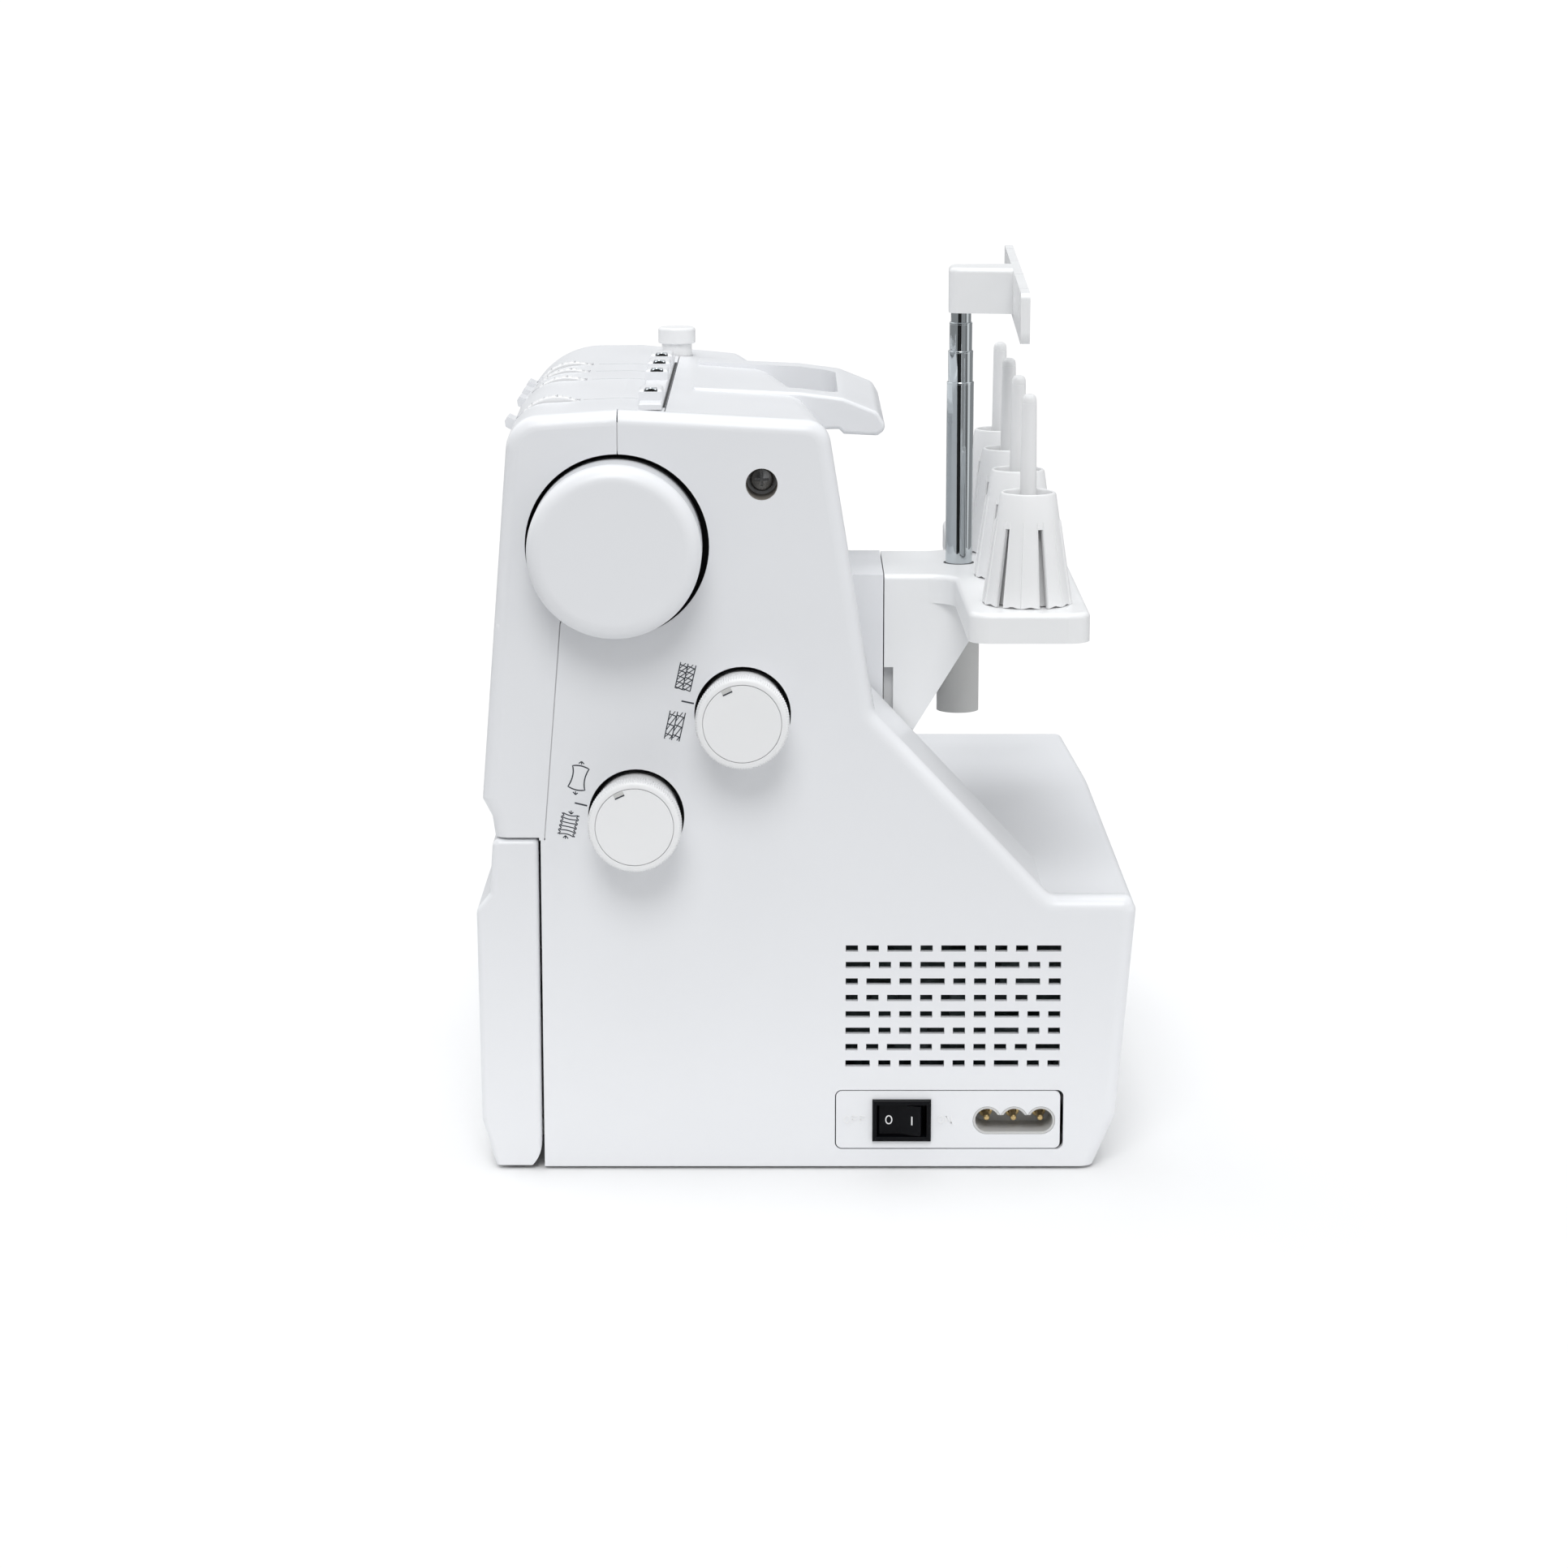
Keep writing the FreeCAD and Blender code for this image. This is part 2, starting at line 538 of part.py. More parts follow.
def lower_knife():
    blade = box(-60.4, -57.8, -73, -62, 100, 121.6)
    foot = box(-60.4, -50, -73, -62, 96, 104)
    return joined(blade, foot)


def needle_bar():
    """Needle bar with its clamp, and the two needles as separate solids."""
    bar = rod_z(150, 262, NEEDLE_X, NEEDLE_Y, NEEDLE_BAR_R)
    clamp = rod_z(148, 156, NEEDLE_X, NEEDLE_Y, 5.0)
    collar = rod_z(256, 260, NEEDLE_X, NEEDLE_Y, 4.3)
    screw = rod_y(NEEDLE_Y - 9, NEEDLE_Y, NEEDLE_X, 152, 1.4)
    parts = [joined(bar, clamp, collar, screw)]
    for x in (NEEDLE_X - 2.5, NEEDLE_X + 2.5):
        tip = Part.makeCone(0.05, 0.6, 4, V(x, NEEDLE_Y, 126))
        parts.append(joined(tip, rod_z(130, 148, x, NEEDLE_Y, 0.6)))
    return Part.makeCompound(parts)


def presser_bar():
    bar = rod_z(137, 262, NEEDLE_X, PRESSER_Y, PRESSER_R)
    shank = box(NEEDLE_X - 2, NEEDLE_X + 2, PRESSER_Y - 3, PRESSER_Y + 3, 127.5, 141)
    collar = rod_z(204, 209, NEEDLE_X, PRESSER_Y, 6.0)
    bar = joined(bar, shank, collar)
    return bar.cut(rod_x(NEEDLE_X - 9, NEEDLE_X + 9, PRESSER_Y, FOOT_PIN_Z, 1.5))


def presser_foot():
    side = [(-44.5, 123.4, 0), (-44.5, 125.6, 1), (-80, 125.6, 6), (-90, 129.0, 0.6),
            (-90.6, 127.6, 0.6), (-82, 123.4, 6)]
    sole = prism_x(side, NEEDLE_X - 8, NEEDLE_X + 8)
    sole = sole.cut(box(NEEDLE_X - 5.5, NEEDLE_X + 5.5, -73, -62, 120, 130))
    lugs = [box(NEEDLE_X + a, NEEDLE_X + b, PRESSER_Y - 3, PRESSER_Y + 3, 125, 133)
            for a, b in ((-5, -2.4), (2.4, 5))]
    pin = rod_x(NEEDLE_X - 5, NEEDLE_X + 5, PRESSER_Y, FOOT_PIN_Z, 1.45)
    return joined(sole, pin, *lugs)


def presser_lever():
    arm = [(LEVER_Y - 5, LEVER_Z + 3, 4), (LEVER_Y + 4, LEVER_Z + 5, 3), (8, 184, 6), (22, 178, 3),
           (24, 172, 3), (14, 172, 4), (0, 177.5, 6), (LEVER_Y, LEVER_Z - 5, 4)]
    lever = prism_x(arm, -62, -57)
    return lever.cut(rod_x(-70, -50, LEVER_Y, LEVER_Z, LEVER_PIN_R + FIT))


def machine_frame():
    plate = box(-125, 125, -45, 96, 4.0, 9.0)
    right = prism_x([(-80, 9), (18, 9), (18, 110), (0, 238.5), (-86, 238.5), (-80, 120)],
                    *UPRIGHT_R)
    left = prism_x([(-49, 9), (10, 9), (10, 110), (-13, 238.5), (-82, 238.5), (-82, 128),
                    (-49, 118)], *UPRIGHT_L)
    beam = box(UPRIGHT_L[0], UPRIGHT_R[1], -44, -22, 206, 212)
    arm = box(-84, UPRIGHT_L[1], -44, -24, 206, 238)
    guides = [box(-78, -66.2, -76, -43, z, z + 8) for z in (192, 224)]
    post = box(-78, -66.2, -44, -34, 192, 208)
    lug = box(-69, -65, LEVER_Y - 5, LEVER_Y + 5, LEVER_Z - 4.5, 208)
    pin = rod_x(-67, -54.8, LEVER_Y, LEVER_Z, LEVER_PIN_R)
    motor_plate = box(100, 104, 16, 80, 8, 82)
    frame = joined(plate, right, left, beam, arm, post, lug, pin, motor_plate, *guides)
    bores = [rod_x(-30, 110, WHEEL_Y, WHEEL_Z, 8.0), rod_x(-30, 110, SHAFT_Y, SHAFT_Z, 8.0),
             rod_x(95, 110, MOTOR_Y, MOTOR_Z, 6.0),
             rod_z(180, 245, NEEDLE_X, NEEDLE_Y, NEEDLE_BAR_R + FIT),
             rod_z(180, 245, NEEDLE_X, PRESSER_Y, PRESSER_R + FIT)]
    bores += [rod_z(0, 12, x, y, 2.2) for x, y in PAN_SCREW_XY]
    return frame.cut(Part.makeCompound(bores))


def shaft_bushings():
    rings = []
    for y, z in ((WHEEL_Y, WHEEL_Z), (SHAFT_Y, SHAFT_Z)):
        for x0, x1 in (UPRIGHT_R, UPRIGHT_L):
            rings.append(ring_x(x0 - 1, x1 + 1, y, z, 8.0, MAIN_R + FIT))
    return Part.makeCompound(rings)


def handwheel():
    return turned_x([(130, MAIN_R, 0), (150, MAIN_R, 0), (150, 0, 0), (WHEEL_FACE, 0, 0),
                     (WHEEL_FACE, WHEEL_R, WHEEL_EDGE), (130, WHEEL_R, 1.2), (130, WHEEL_R - 3, 0),
                     (155, WHEEL_R - 3, 6), (155, 12, 2), (130, 12, 0)], WHEEL_Y, WHEEL_Z)


def main_shaft():
    """Main shaft with crank, and the motor belt's pulley as a separate solid."""
    shaft = rod_x(-58, 150, WHEEL_Y, WHEEL_Z, MAIN_R)
    crank = rod_x(-62, -58, WHEEL_Y, WHEEL_Z, 12)
    pin = rod_x(-64.5, -62, WHEEL_Y, WHEEL_Z + 8, 2.5)
    shaft = joined(shaft, crank, pin, *timing_pulley(WHEEL_Y, WHEEL_Z))
    pulley = grooved_pulley(PULLEY_X[0], PULLEY_X[1], WHEEL_Y, WHEEL_Z, WHEEL_PULLEY_R, MAIN_R)
    return Part.makeCompound([shaft, pulley])


def timing_pulley(y, z):
    wheel = rod_x(TIMING_X[0], TIMING_X[1], y, z, TIMING_R)
    flanges = [rod_x(x, x + 1.2, y, z, TIMING_R + 2.5) for x in (TIMING_X[0] - 1.2, TIMING_X[1])]
    return [wheel] + flanges


def looper_shaft():
    shaft = rod_x(-30, 106, SHAFT_Y, SHAFT_Z, MAIN_R)
    eccentric = rod_x(-32, -25, SHAFT_Y + 2, SHAFT_Z, 8)
    return joined(shaft, eccentric, *timing_pulley(SHAFT_Y, SHAFT_Z))


def grooved_pulley(x0, x1, y, z, r, bore):
    flange = r + 2.0
    return turned_x([(x0, bore, 0), (x1, bore, 0), (x1, flange, 0), (x1 - 1.2, flange, 0),
                     (x1 - 1.2, r, 0), (x0 + 1.2, r, 0), (x0 + 1.2, flange, 0), (x0, flange, 0)], y, z)


def pulley_hull(x0, x1, a, b, radius_a, radius_b):
    """Solid around two round wheels and the straight runs between them."""
    ya, za = a
    yb, zb = b
    span = math.hypot(yb - ya, zb - za)
    heading = math.atan2(zb - za, yb - ya)
    lean = math.acos((radius_a - radius_b) / span)
    corners = []
    for (y, z), radius, side in ((a, radius_a, 1), (b, radius_b, 1), (b, radius_b, -1), (a, radius_a, -1)):
        angle = heading + side * lean
        corners.append((y + radius * math.cos(angle), z + radius * math.sin(angle), 0))
    runs = prism_x(corners, x0, x1)
    return runs.multiFuse([rod_x(x0, x1, ya, za, radius_a), rod_x(x0, x1, yb, zb, radius_b)])


def belt(x0, x1, a, b, radius_a, radius_b):
    outer = pulley_hull(x0, x1, a, b, radius_a + 0.3 + BELT_T, radius_b + 0.3 + BELT_T)
    return outer.cut(pulley_hull(x0 - 1, x1 + 1, a, b, radius_a + 0.3, radius_b + 0.3))


def motor():
    can = turned_x([(32, 0, 0), (32, 24, 3), (96, 24, 3), (96, 5.8, 0), (103.5, 5.8, 0),
                    (103.5, 2.9, 0), (90, 2.9, 0), (90, 0, 0)], MOTOR_Y, MOTOR_Z)
    return joined(can, box(96, 100, MOTOR_Y - 22, MOTOR_Y + 22, MOTOR_Z - 14, MOTOR_Z + 14).cut(
        rod_x(90, 105, MOTOR_Y, MOTOR_Z, 5.0)))


def motor_shaft():
    """Motor shaft, and its pulley as a separate solid."""
    shaft = rod_x(90.5, 120, MOTOR_Y, MOTOR_Z, 2.5)
    pulley = grooved_pulley(PULLEY_X[0], PULLEY_X[1], MOTOR_Y, MOTOR_Z, MOTOR_PULLEY_R, 2.5)
    return Part.makeCompound([shaft, pulley])


def circuit_board():
    board = box(121.4, 123.0, 14, 92, 33, 90)
    pieces = [rod_x(122.5, 133, y, z, 5.2) for y, z in ((28, 74), (28, 60))]
    pieces += [box(122.5, 132, 52, 62, 44, 80), box(122.5, 130, 70, 84, 62, 78),
               box(122.5, 128, 66, 88, 44, 54), rod_x(122.5, 131, 38, 46, 6.5)]
    pieces += [rod_x(122.5, X_RIGHT - WALL, y, z, 2.0) for y in (18, 88) for z in (35.4, 87)]
    return joined(board, *pieces)


def lobes(radius, x0, x1):
    shapes = [rod_x(x0, x1, SOCKET_Y + i * SOCKET_PITCH, SOCKET_Z, radius) for i in (-1, 0, 1)]
    floor = box(x0, x1, SOCKET_Y - SOCKET_PITCH, SOCKET_Y + SOCKET_PITCH, SOCKET_Z - radius, SOCKET_Z + 2.0)
    return joined(shapes[0], shapes[1], shapes[2], floor)


def inlet_panel():
    edge, rear_edge = 0.4, 1.2
    corners = [(INLET_Y0 + edge, INLET_Z0 + edge, 2.2), (INLET_Y1 - rear_edge, INLET_Z0 + edge, 2.2),
               (INLET_Y1 - rear_edge, INLET_Z1 - edge, 2.2), (INLET_Y0 + edge, INLET_Z1 - edge, 2.2)]
    panel = prism_x(corners, X_RIGHT - 3.4, X_RIGHT - 0.2)
    panel = panel.cut(box(130, 145, ROCKER_Y - 9.8, ROCKER_Y + 9.8, ROCKER_Z - 7.0, ROCKER_Z + 7.0))
    return panel.cut(lobes(5.2, 130, 145))


def switch_housing():
    bezel = box(X_RIGHT - 0.2, X_RIGHT + 1.3, ROCKER_Y - 10.6, ROCKER_Y + 10.6, ROCKER_Z - 7.8, ROCKER_Z + 7.8)
    bezel = soften(bezel, 0.8, lambda p: p.x > X_RIGHT + 1.2)
    body = box(120, X_RIGHT - 0.1, ROCKER_Y - 9.7, ROCKER_Y + 9.7, ROCKER_Z - 6.9, ROCKER_Z + 6.9)
    window = box(126, X_RIGHT + 5, ROCKER_Y - 9.0, ROCKER_Y + 9.0, ROCKER_Z - 5.9, ROCKER_Z + 5.9)
    return joined(bezel, body).cut(window)


def switch_rocker():
    corners = [(ROCKER_X + 5.6, ROCKER_Y - 7.9, 0.8), (ROCKER_X + 4.2, ROCKER_Y, 6),
               (ROCKER_X + 5.6, ROCKER_Y + 7.9, 0.8), (ROCKER_X + 1, ROCKER_Y + 8.0, 0.6),
               (ROCKER_X - 5, ROCKER_Y, 4), (ROCKER_X + 1, ROCKER_Y - 8.0, 0.6)]
    rocker = prism_z(corners, ROCKER_Z - 5.5, ROCKER_Z + 5.5)
    rocker.rotate(V(ROCKER_X, ROCKER_Y, 0), V(0, 0, 1), -10)
    return rocker


def inlet_socket():
    shell = lobes(5.1, 118, X_RIGHT - 0.3).cut(lobes(4.3, 126, X_RIGHT + 2))
    holes = [rod_x(115, 128, SOCKET_Y + i * SOCKET_PITCH, SOCKET_Z, 1.15) for i in (-1, 0, 1)]
    return shell.cut(Part.makeCompound(holes))


def inlet_pins():
    return Part.makeCompound([
        turned_x([(114, 0, 0), (136.5, 0, 0), (136.5, 1.15, 0.6), (114, 1.15, 0)],
                 SOCKET_Y + i * SOCKET_PITCH, SOCKET_Z) for i in (-1, 0, 1)])


def side_dial(centre):
    y, z = centre
    face = SIDE_DIAL_FACE
    knob = turned_x([(118, 0, 0), (face - 0.6, 0, 0), (face - 0.6, 13.6, 0), (face - 1.2, 13.6, 0),
                     (face - 1.2, 14.1, 0), (face, 14.1, 0), (face, 15.9, 0.8),
                     (face - 1.6, SIDE_DIAL_R, 0.5), (face - SKIRT_LENGTH, SIDE_DIAL_R, 0),
                     (face - SKIRT_LENGTH, SIDE_DIAL_R - SKIRT_STEP, 0),
                     (130.6, SIDE_DIAL_R - SKIRT_STEP, 0.4), (130.6, 3.92, 0),
                     (118, 3.92, 0)], y, z)
    grooves = []
    count = 60
    for i in range(count):
        angle = 2 * math.pi * i / count
        grooves.append(rod_x(face - SKIRT_LENGTH - 1, face + 1, y + (SIDE_DIAL_R + 0.35) * math.cos(angle),
                             z + (SIDE_DIAL_R + 0.35) * math.sin(angle), 0.6))
    window = box(face - 1.3, face + 1, y - 8.2, y - 5.2, z + 10.0, z + 11.2)
    return knob.cut(Part.makeCompound(grooves)).cut(window)


def tension_dial(x):
    half = TENSION_W / 2
    dial = turned_x([(x - half, 2.5 + FIT, 0), (x + half, 2.5 + FIT, 0), (x + half, TENSION_R, 0.8),
                     (x - half, TENSION_R, 0.8)], TENSION_Y, TENSION_Z)
    count = 40
    grooves = []
    for i in range(count):
        angle = 2 * math.pi * i / count
        grooves.append(rod_x(x - half - 1, x + half + 1, TENSION_Y + (TENSION_R + 0.5) * math.cos(angle),
                             TENSION_Z + (TENSION_R + 0.5) * math.sin(angle), 0.9))
    return dial.cut(Part.makeCompound(grooves))


def tension_bracket():
    pieces = [box(-34, 107, -98, -84, 238.5, 242.0)]
    for x in TENSION_X:
        pieces.append(box(x - 9.5, x - 7.5, -96, -80, 241, 266))
        pieces.append(rod_x(x - 8, x + 9, TENSION_Y, TENSION_Z, 2.5))
        pieces += [rod_x(x + a, x + a + 0.9, TENSION_Y, TENSION_Z, 9.0) for a in (4.6, 6.2)]
    return joined(*pieces)


def thread_guide_plate(outer):
    bar = box(-38, 132.5, PLATE_FRONT, PLATE_REAR, 272, 276.8)
    bar = soften(bar, 0.6, lambda p: p.z > 276.7)
    blocks = []
    for x in GUIDE_X:
        block = box(x - 7, x + 8, PLATE_FRONT - 0.3, PLATE_REAR, 272, 280.6)
        blocks.append(soften(block, 1.2, lambda p: p.z > 280.5))
    plate = joined(bar, *blocks).cut(outer)
    arches = [rod_x(x + 1, x + 6.4, DISC_Y, DISC_Z, DISC_R + 0.4) for x in GUIDE_X]
    arches += [box(x + 6.3, x + 9, DISC_Y - 2.4, DISC_Y + 2.4, 279.7, 282) for x in GUIDE_X]
    return plate.cut(Part.makeCompound(arches)).cut(box(-38, 133, -62, -48, 270, 274.6))


def pretension_discs():
    solids = []
    for x in GUIDE_X:
        discs = [rod_x(x + a, x + a + 0.8, DISC_Y, DISC_Z, DISC_R) for a in (2.0, 3.6)]
        solids.append(joined(rod_x(x + 1.0, x + 5.4, DISC_Y, DISC_Z, 1.1), *discs))
    return Part.makeCompound(solids)


def thread_hooks(outer):
    profile = [(-96, 262, 0), (-104.3, 263.5, 1.5), (-107.6, 265.3, 0.4), (-107.9, 267.4, 0.3),
               (-106.8, 268.8, 0.3), (-104.2, 267.6, 1.2), (-101.5, 270.0, 0), (-96, 271, 0)]
    solids = []
    for x in TENSION_X:
        hook = prism_x(profile, x - 6, x + 6)
        room = rod_x(x - 4.3, x + 4.3, TENSION_Y, TENSION_Z, TENSION_R + 0.9)
        solids.append(hook.cut(outer).cut(room))
    return [max(hook.Solids, key=lambda q: q.Volume) for hook in solids]


def carry_handle(outer):
    profile = [(-41.5, 268, 0), (-41.5, 274.4, 0.3), (-2, 272.6, 0), (13.5, 270.6, 12),
               (26.5, 265.4, 4), (30.0, 259.4, 3), (26.5, 256.6, 2), (14.0, 257.2, 0.5),
               (12.2, 259.0, 0.5), (-20, 258.4, 0)]
    handle = prism_x(profile, HANDLE_X - 54, HANDLE_X + 54)
    opening = [(HANDLE_X - 39, -45, 0), (HANDLE_X + 39, -45, 0), (HANDLE_X + 39, 12.0, 6),
               (HANDLE_X - 39, 12.0, 6)]
    handle = handle.cut(prism_z(opening, 240, 290))
    handle = soften(handle, 1.5, lambda p: p.y > 8 and abs(abs(p.x - HANDLE_X) - 54) < 0.1)
    handle = handle.cut(outer)
    return Part.makeCompound([s for s in handle.Solids if s.Volume > 100])


def spool_stand():
    left, right = STAND_X - TRAY_HALF, STAND_X + TRAY_HALF
    arm0, arm1 = STAND_X - ARM_HALF, STAND_X + ARM_HALF
    plan = [(arm0, 28.8, 0), (arm1, 28.8, 0), (arm1, TRAY_Y0, 10), (right, TRAY_Y0 + 1.5, 7),
            (right, TRAY_Y1, 8), (left, TRAY_Y1, 8), (left, TRAY_Y0 + 1.5, 7), (arm0, TRAY_Y0, 10)]
    under = [(arm0 + 2.5, 31.3, 0), (arm1 - 2.5, 31.3, 0), (arm1 - 2.5, TRAY_Y0 + 2.5, 10),
             (right - 2.5, TRAY_Y0 + 4, 5), (right - 2.5, TRAY_Y1 - 2.5, 6),
             (left + 2.5, TRAY_Y1 - 2.5, 6), (left + 2.5, TRAY_Y0 + 4, 5), (arm0 + 2.5, TRAY_Y0 + 2.5, 10)]
    tray = prism_z(plan, TRAY_TOP - TRAY_T, TRAY_TOP)
    tray = soften(tray, 2.0, lambda p: p.z > TRAY_TOP - 0.1 and p.y > 29)
    tray = tray.cut(prism_z(under, TRAY_TOP - TRAY_T - 1, TRAY_TOP - 2.5))
    foot_y, foot_z = GUSSET_FOOT
    rear_y, rear_z = GUSSET_REAR
    gusset = [(28.8, 200, 0), (28.8, foot_z + 9.8, 0), (foot_y, foot_z, 0), (rear_y, rear_z, 0),
              (rear_y + 3, 200, 0)]
    walls = [prism_x(gusset, arm0, arm0 + 2.5), prism_x(gusset, arm1 - 2.5, arm1)]
    notch = box(arm0 - 1, arm1 + 1, 28, 32.2, 157, 173)
    back = box(arm0, arm1, 28.8, 31.3, 173.1, 200)
    block = box(arm0 + 5, arm1 - 5, 28.8, 34, 155, 175)
    sloped = [(foot_y, foot_z, 0), (rear_y, rear_z, 0), (rear_y - 2.2, rear_z + 1.4, 0),
              (foot_y - 2.2, foot_z + 1.4, 0)]
    web = prism_x(sloped, arm0, arm1)
    stand = joined(joined(tray, back, web, *walls).cut(notch), block)
    tube_room = rod_z(140, TRAY_TOP - 2.5, STAND_X, POLE_Y, TUBE_R)
    bore = rod_z(140, 220, STAND_X, POLE_Y, POLE_R[0])
    return stand.cut(tube_room).cut(bore)


def pole_socket_tube():
    tube = rod_z(151.5, TRAY_TOP - 2.5, STAND_X, POLE_Y, TUBE_R)
    return tube.cut(rod_z(153.5, 230, STAND_X, POLE_Y, POLE_R[0]))


def pole_section(index):
    foot, top = POLE_FOOT[index], POLE_TOP[index]
    outer, bore = POLE_R[index], POLE_BORE[index]
    return turned_z([(bore, foot, 0), (outer, foot, 0), (outer, top, 0.15), (bore, top, 0)],
                    STAND_X, POLE_Y)


def turned_about_pole(shape):
    shape.rotate(V(STAND_X, POLE_Y, 0), V(0, 0, 1), GUIDE_YAW)
    return shape


def guide_bracket():
    y0, y1 = 52.8, BAR_Y - 1.6
    plan = [(STAND_X - 9.5, y0, 4), (STAND_X + 9.5, y0, 4),
            (STAND_X + 12.5, y1, 0), (STAND_X - 12.5, y1, 0)]
    block = prism_z(plan, GUIDE_Z0 + 1.4, GUIDE_Z1)
    block = soften(block, 1.8, lambda p: p.z > GUIDE_Z1 - 0.1 and p.y < y1 - 0.5)
    block = block.cut(rod_z(290, 313, STAND_X, POLE_Y, POLE_R[3] + FIT))
    return turned_about_pole(block)


def thread_guide_bar():
    corners = [(STAND_X - BAR_HALF, GUIDE_Z0, 4), (STAND_X + BAR_HALF, GUIDE_Z0, 4),
               (STAND_X + BAR_HALF, GUIDE_Z1 - 0.5, 2), (STAND_X - BAR_HALF, GUIDE_Z1 - 0.5, 2)]
    bar = prism_y(corners, BAR_Y - 1.6, BAR_Y + 1.6)
    cutters = []
    for x in PIN_X:
        cutters.append(box(x - 0.8, x + 0.8, BAR_Y - 3, BAR_Y + 3, GUIDE_Z1 - 7, GUIDE_Z1 + 1))
        cutters.append(rod_y(BAR_Y - 3, BAR_Y + 3, x, GUIDE_Z1 - 8.5, 2.4))
    return turned_about_pole(bar.cut(Part.makeCompound(cutters)))


def spool_pins():
    """Four pins, each thicker where its cone adapter sits than at its free end."""
    pins = []
    for x in PIN_X:
        pins.append(turned_z([(0, TRAY_TOP, 0), (5.0, TRAY_TOP, 0), (5.0, TRAY_TOP + 1.5, 0.6),
                              (3.0, TRAY_TOP + 1.5, 0), (3.0, PIN_STEP, 0), (PIN_R, PIN_STEP, 0),
                              (PIN_R, PIN_TOP, 1.4), (0, PIN_TOP, 0)], x, PIN_Y))
    return Part.makeCompound(pins)


def cone_adapter(x):
    z0, z1, web = TRAY_TOP + 0.1, CONE_TOP, 234.0
    cone = turned_z([(CONE_FOOT_R - 1.6, z0, 0), (CONE_FOOT_R, z0, 0), (CONE_TOP_R, z1, 0.6),
                     (CONE_TOP_R - 1.65, z1, 0.4),
                     (9.3, web + 2, 0), (3.4, web + 2, 0), (3.4, web, 0), (9.6, web, 0)], x, PIN_Y)
    slots = []
    for i in range(8):
        slot = box(6, 20, -1.1, 1.1, z0 - 1, web - 1)
        slot.rotate(V(0, 0, 0), V(0, 0, 1), 22.5 + 45 * i)
        slot.translate(V(x, PIN_Y, 0))
        slots.append(slot)
    return cone.cut(Part.makeCompound(slots))


def pressure_knob():
    return turned_z([(0, 270.5, 0), (6.0, 270.5, 0), (6.0, 278.4, 0), (7.4, 278.4, 0.5),
                     (7.4, 284.8, 1.2), (0, 284.8, 0)], NEEDLE_X, PRESSER_Y)


def lamp_lens():
    corners = [(-98, -104, 3), (-78, -104, 3), (-78, -92, 3), (-98, -92, 3)]
    return prism_z(corners, Z_HEAD - 3.0, Z_HEAD - 0.0)


def main():
    os.makedirs("parts", exist_ok=True)
    outer = whole_form(0)
    front, rear = casing_shells(outer)
    nodes = {
        "side_casing": side_casing(), "front_casing": front, "rear_casing": rear,
        "base_pan": base_pan(), "rubber_feet": rubber_feet(),
        "casing_screws": casing_screws(), "looper_cover": looper_cover(),
        "cover_hinge_bar": cover_hinge_bar(),
        "looper_panel": looper_panel(), "cloth_plate": cloth_plate(),
        "needle_plate": needle_plate(), "feed_dogs": feed_dogs(),
        "lower_looper": swinging_looper(LOWER_PIVOT, -63.0, (-86.0, 108.0)),
        "upper_looper": swinging_looper(UPPER_PIVOT, -76.0, (-62.0, 110.0)),
        "upper_knife": upper_knife(), "lower_knife": lower_knife(),
        "needle_bar": needle_bar(), "presser_bar": presser_bar(),
        "presser_foot": presser_foot(), "presser_lever": presser_lever(),
        "machine_frame": machine_frame(), "shaft_bushings": shaft_bushings(),
        "handwheel": handwheel(), "main_shaft": main_shaft(), "looper_shaft": looper_shaft(),
        "drive_belt": belt(PULLEY_X[0] + 1.5, PULLEY_X[1] - 1.5, (WHEEL_Y, WHEEL_Z), (MOTOR_Y, MOTOR_Z),
                           WHEEL_PULLEY_R, MOTOR_PULLEY_R),
        "timing_belt": belt(TIMING_X[0] + 0.3, TIMING_X[1] - 0.3, (WHEEL_Y, WHEEL_Z),
                            (SHAFT_Y, SHAFT_Z), TIMING_R, TIMING_R),
        "motor": motor(), "motor_shaft": motor_shaft(), "circuit_board": circuit_board(),
        "inlet_panel": inlet_panel(), "switch_housing": switch_housing(),
        "switch_rocker": switch_rocker(), "inlet_socket": inlet_socket(),
        "inlet_pins": inlet_pins(), "stitch_length_dial": side_dial(LENGTH_DIAL),
        "differential_dial": side_dial(FEED_DIAL), "tension_bracket": tension_bracket(),
        "thread_guide_plate": thread_guide_plate(outer), "pretension_discs": pretension_discs(),
        "carry_handle": carry_handle(outer),
        "spool_stand": spool_stand(), "pole_socket_tube": pole_socket_tube(),
        "guide_bracket": guide_bracket(), "thread_guide_bar": thread_guide_bar(),
        "spool_pins": spool_pins(), "pressure_knob": pressure_knob(), "lamp_lens": lamp_lens()}
    for i, x in enumerate(TENSION_X):
        nodes["tension_dial_%d" % (i + 1)] = tension_dial(x)
    for i in range(4):
        nodes["pole_section_%d" % (i + 1)] = pole_section(i)
    for i, x in enumerate(PIN_X):
        nodes["cone_adapter_%d" % (i + 1)] = cone_adapter(x)
    for name, shape in nodes.items():
        save(name, shape)
    print(len(nodes), "nodes")


main()
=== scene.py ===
"""White overlock sewing machine: materials, fine detail, light and camera around the CAD frame.

Everything is in the frame of the CAD model: +X to the operator's right, +Y to the rear, +Z up.
Shapes are drawn in millimetres, and scaled to metres when a piece is finished.
"""
import json
import math

import bmesh
import bpy
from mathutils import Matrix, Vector
from mathutils.bvhtree import BVHTree


